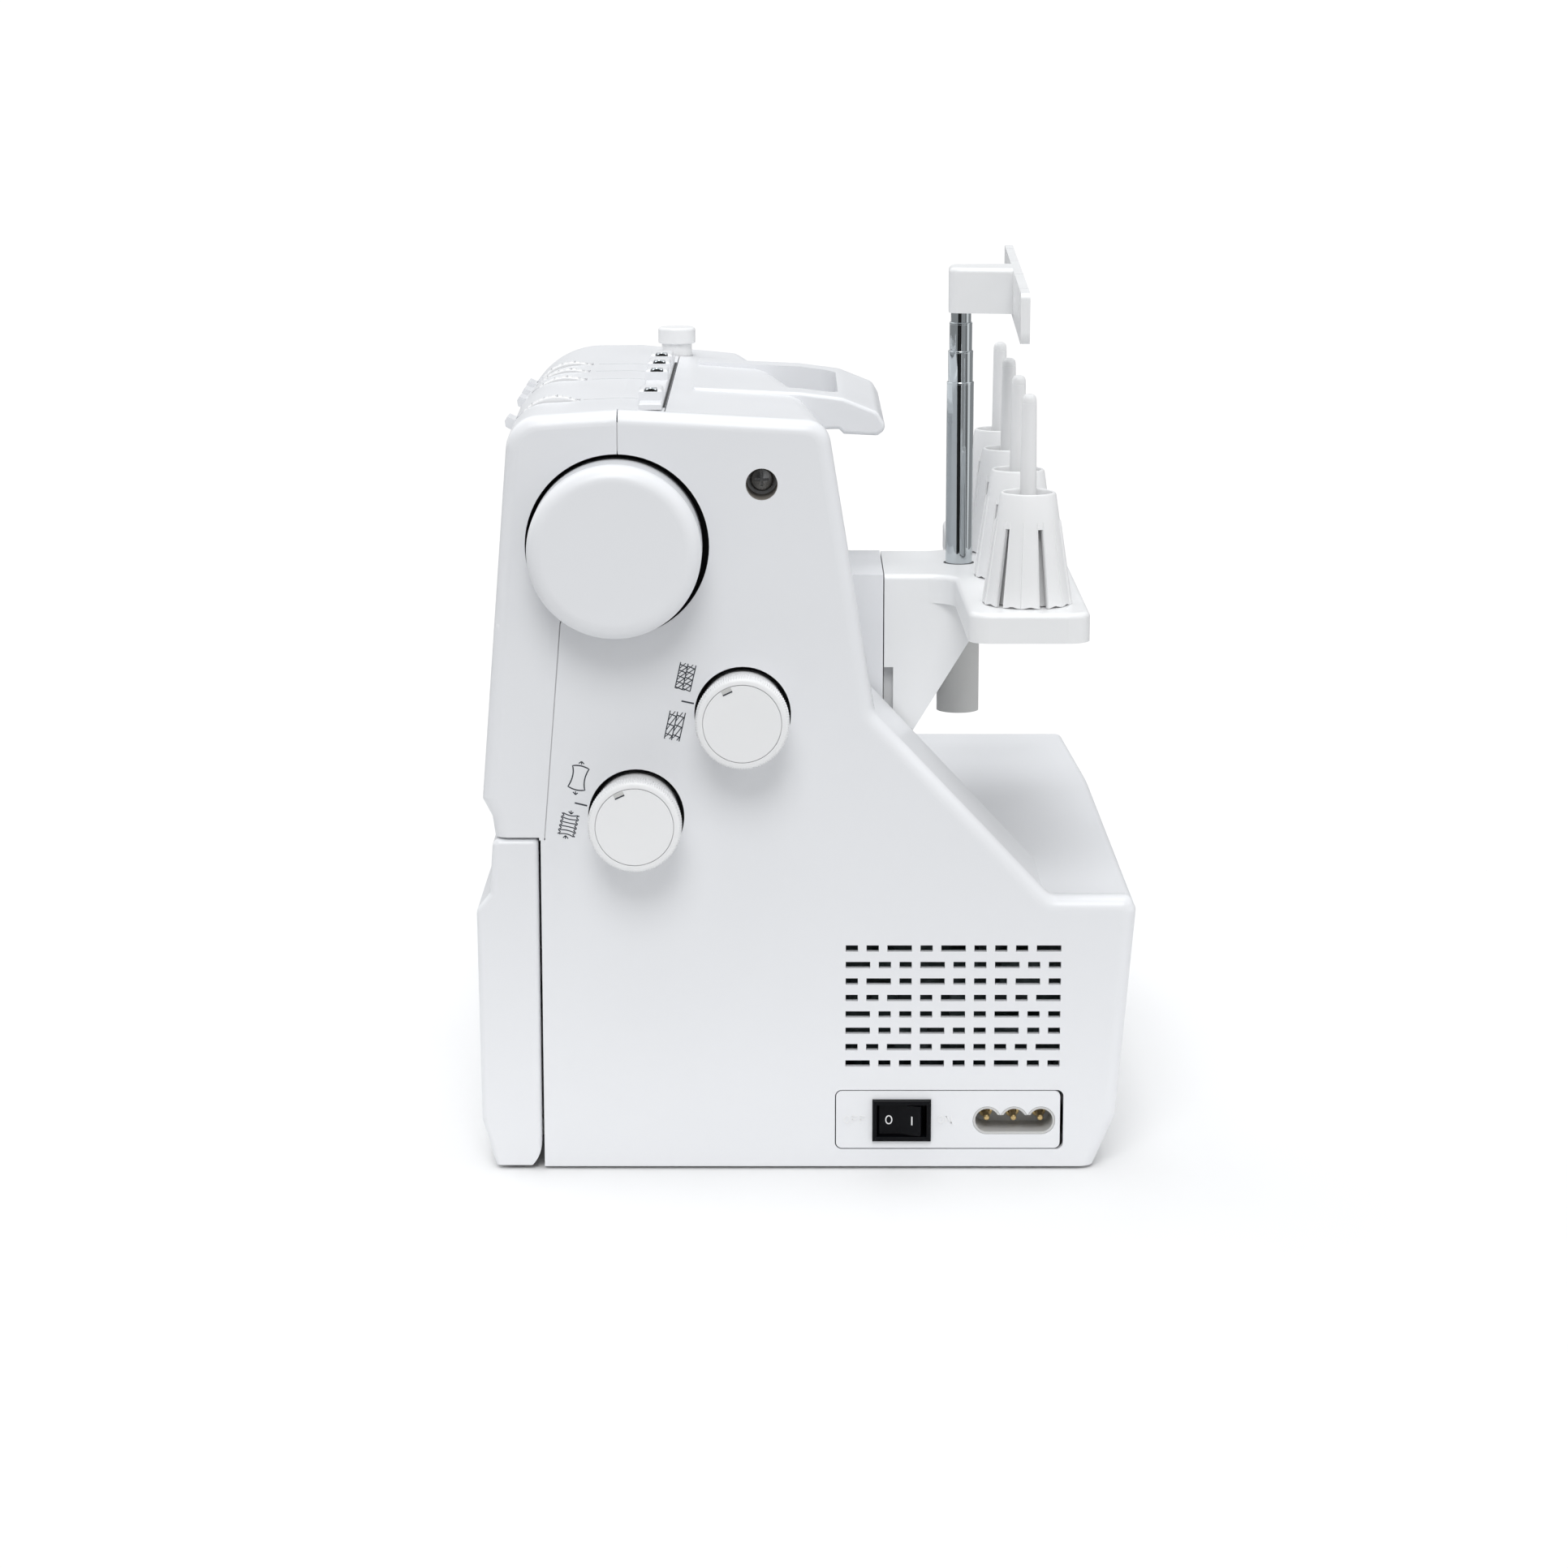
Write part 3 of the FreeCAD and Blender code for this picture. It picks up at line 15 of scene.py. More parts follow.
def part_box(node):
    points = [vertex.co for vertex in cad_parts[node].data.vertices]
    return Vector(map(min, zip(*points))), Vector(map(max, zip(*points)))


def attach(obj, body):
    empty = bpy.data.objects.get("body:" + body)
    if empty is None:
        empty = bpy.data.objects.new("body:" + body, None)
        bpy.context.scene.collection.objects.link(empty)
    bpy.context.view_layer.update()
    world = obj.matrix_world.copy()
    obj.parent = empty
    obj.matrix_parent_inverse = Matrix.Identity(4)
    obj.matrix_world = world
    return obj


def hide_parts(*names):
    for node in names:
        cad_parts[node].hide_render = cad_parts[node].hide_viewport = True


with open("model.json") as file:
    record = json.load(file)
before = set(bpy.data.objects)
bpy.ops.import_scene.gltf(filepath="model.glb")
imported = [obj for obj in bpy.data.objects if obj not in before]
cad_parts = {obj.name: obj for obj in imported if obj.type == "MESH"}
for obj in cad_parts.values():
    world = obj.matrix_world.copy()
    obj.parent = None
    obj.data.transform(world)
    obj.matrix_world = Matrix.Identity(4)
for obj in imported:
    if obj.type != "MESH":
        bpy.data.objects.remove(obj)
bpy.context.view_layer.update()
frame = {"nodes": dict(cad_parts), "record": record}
NODES = frame["nodes"]
MM = 0.001
TURN = 2 * math.pi

# Sizes in millimetres
INK = 0.04                      # printed marks stand this much above the plastic
SUNK = 0.03                     # and reach this far into it
DIAL_BACK = 130.6               # rear end of the side dials, inside the casing
DIAL_RIDGES, RIDGE_HEIGHT, KNURL_LENGTH = 112, 0.26, 7.5
SKIRT_STEP = 1.1                # how far a dial's smooth skirt lies below its knurled rim
FACE_RING_IN, FACE_RING_OUT, FACE_RING_DEPTH = 13.67, 13.95, 0.7
WINDOW_REACH, WINDOW_HALF = 12.6, 1.8       # pointer window: distance from the axis, half length
WINDOW_ANGLE, WINDOW_TILT = 115, 25         # its direction from the axis and its tilt, degrees
DIAL_RECESS_GAP, DIAL_RECESS_DEPTH = 0.5, 9.9
WHEEL_RECESS_GAP, WHEEL_RECESS_DEPTH, WHEEL_RECESS_SHIFT = 1.9, 12.9, 0.5
SHADE_RING_HUB = 8.0                 # hole that the shaft passes in the floor of a recess's painted shade ring
SCREW_WELL_Y, SCREW_WELL_Z, SCREW_WELL_R, SCREW_WELL_DEPTH = -15.9, 249.4, 5.6, 15.0
COLLAR_FOOT = 125.7             # floor of the inlet, where the pins' collars stand
LETTER_WIDTH, LETTER_HEIGHT, LETTER_PITCH = 1.9, 2.6, 2.9
PIN_SHOULDER = 246.0            # height where the spool pins start to narrow
PLATE_REAR = -50.9              # rear edge of the thread guide plate
PLATE_LEFT, PLATE_RIGHT = -36.0, 122.0
PLATE_GROOVE, PLATE_GROOVE_WIDTH = 0.45, 0.85  # middle of the groove behind it, and the width of the painted shade strip in it
TOP_Z = 273.0                   # height of the top where a ray finds no casing

# Printed icons on the side casing, (Y, Z): top left, top right, bottom right, bottom left
SHORT_STITCHES = ((-44.6, 186.5), (-39.0, 185.2), (-41.1, 175.9), (-46.6, 177.2))
LONG_STITCHES = ((-48.4, 169.1), (-42.8, 168.2), (-45.1, 157.9), (-50.5, 159.0))
STRETCHED = ((-83.0, 149.2), (-77.2, 147.9), (-78.8, 140.3), (-84.7, 141.7))
GATHERED = ((-86.7, 132.2), (-81.0, 131.0), (-82.8, 123.2), (-88.4, 124.5))
POINTER_LINES = (((-44.3, 172.5), (-39.9, 171.6)), ((-82.4, 135.7), (-78.0, 134.65)))
# Joint line of the side casing, below and above the handwheel
SEAM_LINES = (((-93.3, 122.6), (-86.8, 200.3)), ((-66.2, 261.0), (-66.2, 271.0)))
# Scale marks on the skirts: first and last angle, distance behind the face there, thickness
LENGTH_MARKS = ((109, 90, 10.0, 9.4, 1.3),)
FEED_MARKS = ((128, 97, 11.2, 9.6, 1.2), (108, 98, 8.9, 8.7, 1.2), (86, 79, 9.9, 9.9, 1.6),
              (66, 61, 9.9, 10.2, 3.0), (60, 44, 10.2, 9.0, 1.4))

# Studio, in metres and degrees
FLOOR_SIZE, FLOOR_DROP = 0.66, 0.0002
CAMERA_PLACE, CAMERA_PITCH, CAMERA_LENS = (1.480, -0.0081, 0.4286), 12.05, 88.7
SKY = ((0.35, 0.60), (0.6, 0.50))              # (share of the height, grey)
WALLS = ((-180, 0.34), (-38, 0.36), (-33, 0.012), (-17, 0.012), (-15, 0.07), (-12, 0.012),
         (1, 0.012), (5, 0.36), (46, 0.38), (50, 0.17), (66, 0.17), (70, 0.38), (150, 0.36),
         (180, 0.34))                          # (direction from +X, grey)


# ---------------------------------------------------------------------------
# Materials
# ---------------------------------------------------------------------------
class Shader:
    """A Principled material whose colour, roughness and relief come from procedural noise."""

    def __init__(self, name, colour, roughness, metallic=0.0, **settings):
        self.material = bpy.data.materials.new(name)
        self.material.use_nodes = True
        self.material.diffuse_color = (*colour, 1.0)
        self.tree = self.material.node_tree
        self.surface = self.tree.nodes["Principled BSDF"]
        self.surface.inputs["Base Color"].default_value = (*colour, 1.0)
        self.surface.inputs["Roughness"].default_value = roughness
        self.surface.inputs["Metallic"].default_value = metallic
        for socket, value in settings.items():
            self.surface.inputs[socket.replace("_", " ")].default_value = value
        self.colour = colour
        self.roughness = roughness
        self.place = self.tree.nodes.new("ShaderNodeTexCoord").outputs["Object"]

    def stretched(self, scale):
        """Object coordinates stretched by a scale per axis, for brushed or layered patterns."""
        mapping = self.tree.nodes.new("ShaderNodeMapping")
        mapping.inputs["Scale"].default_value = scale
        self.tree.links.new(self.place, mapping.inputs["Vector"])
        return mapping.outputs["Vector"]

    def noise(self, scale, detail=3.0, place=None):
        node = self.tree.nodes.new("ShaderNodeTexNoise")
        node.inputs["Scale"].default_value = scale
        node.inputs["Detail"].default_value = detail
        self.tree.links.new(place or self.place, node.inputs["Vector"])
        return node.outputs["Fac"]

    def ranged(self, value, low, high):
        node = self.tree.nodes.new("ShaderNodeMapRange")
        node.inputs["From Min"].default_value = 0.1
        node.inputs["From Max"].default_value = 0.9
        node.inputs["To Min"].default_value = low
        node.inputs["To Max"].default_value = high
        self.tree.links.new(value, node.inputs["Value"])
        return node.outputs["Result"]

    def mottle(self, value, spread, tint=None):
        """Colour that wanders between a darker and a lighter shade of the base colour."""
        node = self.tree.nodes.new("ShaderNodeMix")
        node.data_type = "RGBA"
        other = tint or tuple(c * (1 - spread) for c in self.colour)
        node.inputs["A"].default_value = (*other, 1.0)
        node.inputs["B"].default_value = (*self.colour, 1.0)
        self.tree.links.new(self.ranged(value, 0.0, 1.0), node.inputs["Factor"])
        self.tree.links.new(node.outputs["Result"], self.surface.inputs["Base Color"])
        return self

    def uneven_gloss(self, value, spread):
        low, high = self.roughness * (1 - spread), self.roughness * (1 + spread)
        self.tree.links.new(self.ranged(value, low, high), self.surface.inputs["Roughness"])
        return self

    def relief(self, *layers):
        """Bump layers, each (value, height in metres), stacked from coarse to fine."""
        normal = None
        for value, height in layers:
            node = self.tree.nodes.new("ShaderNodeBump")
            node.inputs["Strength"].default_value = 1.0
            node.inputs["Distance"].default_value = height
            self.tree.links.new(value, node.inputs["Height"])
            if normal:
                self.tree.links.new(normal, node.inputs["Normal"])
            normal = node.outputs["Normal"]
        self.tree.links.new(normal, self.surface.inputs["Normal"])
        return self


def moulded(name, colour, roughness, grain, **settings):
    """Injection-moulded plastic: colour and gloss wander faintly, with a fine skin texture."""
    shader = Shader(name, colour, roughness, **settings)
    shader.mottle(shader.noise(5.0, 0.0), 0.010)
    shader.uneven_gloss(shader.noise(40.0, 1.0), 0.12)
    return shader.relief((shader.noise(2600.0, 2.0), grain)).material


def ground_metal(name, colour, roughness, stretch, height):
    """Metal with fine drawn or ground lines along the axis that has the smallest stretch."""
    shader = Shader(name, colour, roughness, metallic=1.0)
    lines = shader.noise(1.0, 4.0, shader.stretched(stretch))
    shader.mottle(lines, 0.12)
    shader.uneven_gloss(lines, 0.30)
    return shader.relief((lines, height)).material


def circuit_material():
    """Solder mask with lighter blocks where parts and copper areas stand."""
    shader = Shader("board", (0.055, 0.085, 0.085), 0.45)
    bricks = shader.tree.nodes.new("ShaderNodeTexVoronoi")
    bricks.distance = "MANHATTAN"
    bricks.inputs["Scale"].default_value = 180.0
    shader.tree.links.new(shader.place, bricks.inputs["Vector"])
    shader.mottle(bricks.outputs["Distance"], 0.0, tint=(0.12, 0.15, 0.155))
    shader.uneven_gloss(shader.noise(220.0), 0.3)
    return shader.relief((bricks.outputs["Distance"], 0.0004)).material


def rubber_material():
    shader = Shader("rubber", (0.022, 0.022, 0.023), 0.72)
    shader.mottle(shader.noise(60.0), 0.25)
    shader.uneven_gloss(shader.noise(300.0), 0.15)
    return shader.relief((shader.noise(1800.0), 0.00004)).material


def lens_material():
    shader = Shader("clear_lens", (0.93, 0.94, 0.92), 0.32, Transmission_Weight=0.75, IOR=1.49)
    shader.mottle(shader.noise(40.0), 0.03)
    shader.uneven_gloss(shader.noise(500.0), 0.2)
    return shader.relief((shader.noise(700.0), 0.00003)).material


def ink_material(name, colour):
    shader = Shader(name, colour, 0.5)
    shader.mottle(shader.noise(400.0), 0.10)
    shader.uneven_gloss(shader.noise(900.0), 0.1)
    return shader.relief((shader.noise(3000.0), 0.000004)).material


MATERIALS = {
    "white_gloss": moulded("white_gloss", (0.795, 0.803, 0.822), 0.34, 0.0000006),
    "white_satin": moulded("white_satin", (0.825, 0.828, 0.832), 0.42, 0.000001),
    # Lighter copy of the white plastic below: painted light on the spool stand and guide parts.
    "white_lit": moulded("white_lit", (0.84, 0.845, 0.85), 0.36, 0.000001),
    # Painted shade for the inside of the screw well.
    "well_shade_grey": moulded("well_shade_grey", (0.27, 0.25, 0.225), 0.5, 0.000001),
    # Painted shade for the side of the handwheel's rim.
    "wheel_side_shade": moulded("wheel_side_shade", (0.60, 0.61, 0.63), 0.45, 0.000001),
    "grey_plastic": moulded("grey_plastic", (0.56, 0.56, 0.55), 0.45, 0.0000015),
    "black_plastic": moulded("black_plastic", (0.002, 0.0023, 0.0035), 0.40, 0.0000015,
                             Specular_IOR_Level=0.12),
    "chrome": ground_metal("chrome", (0.57, 0.61, 0.63), 0.05, (40.0, 40.0, 4.0), 0.0000003),
    "steel": ground_metal("steel", (0.56, 0.565, 0.57), 0.26, (900.0, 900.0, 60.0), 0.000002),
    "cast_aluminium": ground_metal("cast_aluminium", (0.50, 0.51, 0.52), 0.5,
                                   (600.0, 600.0, 600.0), 0.00002),
    "brass": ground_metal("brass", (0.62, 0.46, 0.22), 0.3, (300.0, 900.0, 900.0), 0.000002),
    "rubber": rubber_material(),
    "motor_paint": moulded("motor_paint", (0.045, 0.048, 0.052), 0.4, 0.000005),
    "board": circuit_material(),
    "clear_lens": lens_material(),
    "ink_grey": ink_material("ink_grey", (0.045, 0.050, 0.062)),
    "ink_white": ink_material("ink_white", (0.82, 0.82, 0.82)),
    "shadow_black": ink_material("shadow_black", (0.0022, 0.0024, 0.0028)),
}


LIT_NODES = ("spool_stand", "guide_bracket", "thread_guide_bar")


def dress_cad_nodes():
    """Gives each CAD node its slot's material; the spool stand, guide bracket and guide bar get a
    lighter copy of the white plastic, painted light for the stronger light they catch.
    """
    for entry in frame["record"]["subparts"]:
        mesh = NODES[entry["node"]].data
        bright = entry["node"] in LIT_NODES
        mesh.materials.clear()
        mesh.materials.append(MATERIALS["white_lit" if bright else entry["material_slot"]])


# ---------------------------------------------------------------------------
# Mesh helpers
# ---------------------------------------------------------------------------
def box_mm(node):
    """Lowest and highest corner of a CAD node, in millimetres."""
    low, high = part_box(node)
    return [c / MM for c in low], [c / MM for c in high]


def about_x(y, z):
    """Places (a, b, along) of a turned form whose axis is parallel to X."""
    return lambda a, b, along: Vector((along, y + a, z + b))


def about_z(x, y):
    return lambda a, b, along: Vector((x + a, y + b, along))


def sheet(bm, rows, wrap_rows=False, wrap_columns=False):
    """Quads between rows of points; wraps join the last row or column to the first."""
    grid = [[bm.verts.new(point) for point in row] for row in rows]
    count, width = len(grid), len(grid[0])
    for i in range(count if wrap_rows else count - 1):
        for j in range(width if wrap_columns else width - 1):
            first, second = grid[i], grid[(i + 1) % count]
            k = (j + 1) % width
            bm.faces.new((first[j], first[k], second[k], second[j]))
    return grid


def turned(bm, profile, place, segments=72, ripple=None):
    """Turns a closed profile of (radius, along); where it meets the axis it closes on one point."""
    rows = []
    for radius, along in profile:
        ring = []
        for i in range(segments):
            angle = TURN * i / segments
            reach = radius + (ripple(angle, along) if ripple and radius > 0 else 0.0)
            ring.append(place(reach * math.cos(angle), reach * math.sin(angle), along))
        rows.append(ring)
    on_axis = profile[0][0] == 0 and profile[-1][0] == 0
    sheet(bm, rows, wrap_rows=not on_axis, wrap_columns=True)
    bmesh.ops.remove_doubles(bm, verts=bm.verts, dist=0.0005)


def ribbon(bm, points, width, thickness, place, closed=False):
    """A flat printed or raised line along 2-D points, laid on a surface by place(u, v, height)."""
    count = len(points)
    rows = []
    for i, (u, v) in enumerate(points):
        before = points[(i - 1) % count] if closed or i else points[i]
        after = points[(i + 1) % count] if closed or i < count - 1 else points[i]
        along = Vector((after[0] - before[0], after[1] - before[1]))
        along.normalize()
        side = Vector((-along.y, along.x)) * width / 2
        left, right = (u + side.x, v + side.y), (u - side.x, v - side.y)
        rows.append([place(*left, -SUNK), place(*left, thickness),
                     place(*right, thickness), place(*right, -SUNK)])
    grid = sheet(bm, rows, wrap_rows=closed, wrap_columns=True)
    if not closed:
        bm.faces.new(grid[0])
        bm.faces.new(grid[-1])


def bent(start, middle, end, steps=10):
    """Points of a smooth curve from start to end that passes through middle."""
    control = [2 * m - (a + b) / 2 for a, m, b in zip(start, middle, end)]
    points = []
    for i in range(steps + 1):
        t = i / steps
        points.append(tuple((1 - t) ** 2 * a + 2 * t * (1 - t) * c + t * t * b
                            for a, c, b in zip(start, control, end)))
    return points


def finish_piece(name, bm, material, body, replaces=(), sharp=32.0):
    """Turns a mesh drawn in millimetres into a named piece that rides on its body."""
    bmesh.ops.recalc_face_normals(bm, faces=bm.faces)
    bmesh.ops.scale(bm, vec=(MM, MM, MM), verts=bm.verts)
    mesh = bpy.data.meshes.new(name)
    bm.to_mesh(mesh)
    bm.free()
    mesh.shade_smooth()
    mesh.set_sharp_from_angle(angle=math.radians(sharp))
    mesh.materials.append(MATERIALS[material])
    piece = bpy.data.objects.new(name, mesh)
    bpy.context.scene.collection.objects.link(piece)
    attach(piece, body)
    if replaces:
        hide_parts(*replaces)
    return piece


def body_of_node(node):
    for body, nodes in frame["record"]["behaviour"]["bodies"].items():
        if node in nodes:
            return body
    return "root"


def middle(node):
    low, high = box_mm(node)
    return [(a + b) / 2 for a, b in zip(low, high)]


# ---------------------------------------------------------------------------
# Right side: dials, handwheel, recesses, icons
# ---------------------------------------------------------------------------
SIDE_X = box_mm("side_casing")[1][0]           # outer face of the side casing


def side_place(u, v, height):
    """Places (Y, Z, height) on the side casing."""
    return Vector((SIDE_X + height, u, v))


def side_dial(node, marks):
    """Knob with a finely knurled rim, a smooth skirt behind it and a pointer window in its face."""
    low, high = box_mm(node)
    _, y, z = middle(node)
    face, radius = high[0], (high[1] - low[1]) / 2
    knurl_back = face - KNURL_LENGTH
    body = body_of_node(node)

    def ripple(angle, along):
        if knurl_back <= along <= face - 1.0:
            return RIDGE_HEIGHT * math.cos(DIAL_RIDGES * angle)
        return 0.0

    rim = radius - RIDGE_HEIGHT - 0.02
    skirt = rim - SKIRT_STEP
    groove = face - FACE_RING_DEPTH
    profile = [(0, DIAL_BACK), (skirt - 0.6, DIAL_BACK), (skirt, DIAL_BACK + 0.4),
               (skirt, knurl_back - 0.25), (skirt + 0.05, knurl_back - 0.01),
               (rim, knurl_back + 0.35), (rim, face - 1.9), (rim - 0.12, face - 1.0),
               (rim - 0.4, face - 0.5), (rim - 0.8, face - 0.2), (rim - 1.3, face - 0.02),
               (FACE_RING_OUT, face - 0.02), (FACE_RING_OUT - 0.03, groove),
               (FACE_RING_IN + 0.03, groove), (FACE_RING_IN, face - 0.05),
               (9.0, face - 0.01), (0, face)]
    bm = bmesh.new()
    turned(bm, profile, about_x(y, z), segments=DIAL_RIDGES * 4, ripple=ripple)
    finish_piece(node + "_knob", bm, "white_satin", body, replaces=(node,))

    angle, tilt = math.radians(WINDOW_ANGLE), math.radians(WINDOW_TILT)
    window = Vector((WINDOW_REACH * math.cos(angle), WINDOW_REACH * math.sin(angle)))
    step = Vector((math.cos(tilt), math.sin(tilt)))
    out = Vector((-step.y, step.x))

    def on_face(u, v, height):
        return Vector((face + height, y + u, z + v))

    # The black strip along the window's lower side is painted shadow under the notch's edge.
    for part, shift, width, height, material in (("window", 0.38, 1.6, 0.06, "grey_plastic"),
                                                 ("window_shadow", -0.62, 0.5, 0.09, "ink_grey")):
        centre = window + out * shift
        ends = [tuple(centre - step * WINDOW_HALF), tuple(centre + step * WINDOW_HALF)]
        bm = bmesh.new()
        ribbon(bm, ends, width, height, on_face)
        finish_piece(node + "_" + part, bm, material, body)

    def on_skirt(degrees, behind, height):
        angle, reach = math.radians(degrees), skirt + height
        return Vector((face - behind, y + reach * math.cos(angle), z + reach * math.sin(angle)))

    bm = bmesh.new()
    steps = 8
    for first, last, near, far, thick in marks:
        rows = []
        for i in range(steps + 1):
            degrees, behind = first + (last - first) * i / steps, near + (far - near) * i / steps
            half = thick * 0.85 * (1 - i / 10)
            rows.append([on_skirt(degrees, behind - half, -SUNK),
                         on_skirt(degrees, behind - half, INK),
                         on_skirt(degrees, behind + half, INK),
                         on_skirt(degrees, behind + half, -SUNK)])
        grid = sheet(bm, rows, wrap_columns=True)
        bm.faces.new(grid[0])
        bm.faces.new(grid[-1])
    finish_piece(node + "_scale", bm, "ink_grey", body)


def recess_shade_ring(name, node, gap, depth, shift=0.0):
    """Painted shade: a black ring inside the round recess that a dial or the handwheel turns in,
    standing in for the shadow there.
    """
    low, high = box_mm(node)
    _, y, z = middle(node)
    y += shift
    radius = (high[1] - low[1]) / 2 + gap
    front, back = SIDE_X - 0.12, SIDE_X - depth
    bm = bmesh.new()
    turned(bm, [(radius - 0.05, back), (radius - 0.05, front), (radius - 0.2, front),
                (radius - 0.2, back + 0.4), (SHADE_RING_HUB, back + 0.4), (SHADE_RING_HUB, back + 0.05)],
           about_x(y, z), segments=96)
    finish_piece(name, bm, "shadow_black", "root")


def in_quad(corners):
    """Maps (0..1, 0..1) to the four corners: top left, top right, bottom right, bottom left."""
    a, b, c, d = [Vector(corner) for corner in corners]

    def spot(u, v):
        point = (a * (1 - u) + b * u) * (1 - v) + (d * (1 - u) + c * u) * v
        return point.x, point.y
    return spot


def overlock_pattern(bm, corners, start, pitch):
    """Two columns of an overlock seam as seen from above; the pitch is the stitch length."""
    spot = in_quad(corners)

    def line(width, *points):
        ribbon(bm, [spot(*point) for point in points], width, INK, side_place)

    for u in (0.02, 0.49, 0.98):
        line(0.38, (u, 0.0), (u - 0.01, 1.0))
    for left, right in ((0.04, 0.5), (0.51, 0.97)):
        v = start
        while v < 1.0:
            low = min(v + pitch, 1.0)
            share = (low - v) / pitch
            line(0.38, (left, v - 0.05), (right, v))
            line(0.34, (right - 0.04, v), (right - 0.04 - 0.30 * share, low - 0.02))
            line(0.28, (left, v + 0.45 * pitch * share), (left + 0.13, v - 0.01))
            v += pitch
        line(0.30, (left + 0.16, start - 0.03), (left + 0.30, 0.0))


def arrow(bm, tip, wings, tail):
    for end in (*wings, tail):
        ribbon(bm, [end, tip], 0.36, INK, side_place)


def stretched_fabric(bm):
    """Outline of a piece of fabric pulled out of shape, with an arrow above and below."""
    top_left, top_right, low_right, low_left = STRETCHED
    edge = bent(top_left, (-80.0, 149.1), top_right)[:-1]
    edge += bent(top_right, (-78.8, 144.1), low_right)[:-1]
    edge += bent(low_right, (-81.8, 140.4), low_left)[:-1]
    edge += bent(low_left, (-83.0, 145.6), top_left)[:-1]
    ribbon(bm, edge, 0.46, INK, side_place, closed=True)
    arrow(bm, (-79.8, 150.7), ((-80.8, 150.0), (-78.9, 149.8)), (-79.8, 149.6))
    arrow(bm, (-82.1, 138.7), ((-83.0, 139.7), (-81.3, 139.3)), (-82.1, 139.9))


def gathered_fabric(bm):
    """Fabric in folds between two wavy edges, with an arrow above and below."""
    spot = in_quad(GATHERED)
    rungs = 5
    for i in range(rungs + 1):
        v = i / rungs
        sag = 0.07 * (1 - 2 * v)
        ribbon(bm, bent(spot(0.04, v), spot(0.5, v + sag), spot(0.96, v)), 0.38, INK, side_place)
    for u, outward in ((0.0, -0.07), (1.0, 0.07)):
        wave = []
        for i in range(rungs * 6 + 1):
            v = i / (rungs * 6)
            wave.append(spot(u - outward * 0.5 + outward * math.cos(TURN * v * rungs), v))
        ribbon(bm, wave, 0.38, INK, side_place)
    arrow(bm, (-83.7, 131.6), ((-84.6, 132.6), (-82.9, 132.3)), (-83.7, 132.9))
    arrow(bm, (-85.8, 123.8), ((-86.7, 123.0), (-84.9, 122.7)), (-85.9, 122.6))


def stitch_icons():
    bm = bmesh.new()
    overlock_pattern(bm, SHORT_STITCHES, 0.14, 0.215)
    overlock_pattern(bm, LONG_STITCHES, 0.17, 0.345)
    stretched_fabric(bm)
    gathered_fabric(bm)
    for line in POINTER_LINES:
        ribbon(bm, line, 0.56, INK, side_place)
    finish_piece("stitch_icons", bm, "ink_grey", "root")


def seam_tongue():
    """Tongue of the front casing that closes the joint line a little below the surface."""
    bm = bmesh.new()
    for line in SEAM_LINES:
        ribbon(bm, line, 1.3, 0.5, lambda u, v, height: side_place(u, v, height - 1.35))
    finish_piece("casing_tongue", bm, "white_satin", "root")


def screw_well():
    """Painted shade: a brownish grey sleeve that darkens the inside of the deep screw well of the
    side casing.
    """
    outer, inner = SCREW_WELL_R - 0.04, SCREW_WELL_R - 0.16
    front, back = SIDE_X - 0.5, SIDE_X - SCREW_WELL_DEPTH
    bm = bmesh.new()
    turned(bm, [(outer, back), (outer, front), (inner, front), (inner, back)],
           about_x(SCREW_WELL_Y, SCREW_WELL_Z), segments=64)
    finish_piece("screw_well_shade", bm, "well_shade_grey", "root")


def handwheel_shade_band():
    """Painted shade: a greyer band round the handwheel's rim, behind its rounded front edge, where
    the recess shades it.
    """
    low, high = box_mm("handwheel")
    _, y, z = middle("handwheel")
    radius = (high[1] - low[1]) / 2
    outer, inner = radius + 0.03, radius - 0.4
    front, back = high[0] - 7.5, SIDE_X
    bm = bmesh.new()
    turned(bm, [(inner, back), (outer, back), (outer, front), (inner, front)], about_x(y, z),
           segments=192)
    finish_piece("handwheel_shade_band", bm, "wheel_side_shade", body_of_node("handwheel"))


# ---------------------------------------------------------------------------
# Switch and power inlet
# ---------------------------------------------------------------------------
def front_of(node):
    """Finds the outermost X of a node at (Y, Z), in millimetres."""
    mesh = NODES[node].data
    tree = BVHTree.FromPolygons([v.co for v in mesh.vertices], [p.vertices for p in mesh.polygons])

    def reach(y, z):
        hit = tree.ray_cast(Vector((1.0, y * MM, z * MM)), Vector((-1, 0, 0)))[0]
        return hit.x / MM if hit else SIDE_X
    return reach


def circle(y, z, radius_y, radius_z, steps=28):
    return [(y + radius_y * math.cos(TURN * i / steps), z + radius_z * math.sin(TURN * i / steps))
            for i in range(steps)]


def rocker_marks():
    """O and I on the rocker, laid on its bent face."""
    low, high = box_mm("switch_rocker")
    z = (low[2] + high[2]) / 2
    reach = front_of("switch_rocker")

    def place(u, v, height):
        return Vector((reach(u, v) + height, u, v))

    bm = bmesh.new()
    ribbon(bm, circle(low[1] + 4.0, z, 1.1, 1.5), 0.4, 0.05, place, closed=True)
    ribbon(bm, [(high[1] - 4.0, z - 1.6), (high[1] - 4.0, z + 1.6)], 0.45, 0.05, place)
    finish_piece("rocker_marks", bm, "ink_white", body_of_node("switch_rocker"))


def letter_strokes(letter, y, z, width, height):
    """Straight and round strokes of a plain capital letter, lower left corner at (y, z)."""
    right, top, half = y + width, z + height, z + height / 2
    if letter == "O":
        return [(circle(y + width / 2, half, width / 2, height / 2, 20), True)]
    stem = [(y, z), (y, top)]
    if letter == "F":
        lines = (stem, [(y, top), (right, top)], [(y, half), (right - 0.3, half)])
    else:
        lines = (stem, [(y, top), (right, z)], [(right, z), (right, top)])
    return [(line, False) for line in lines]


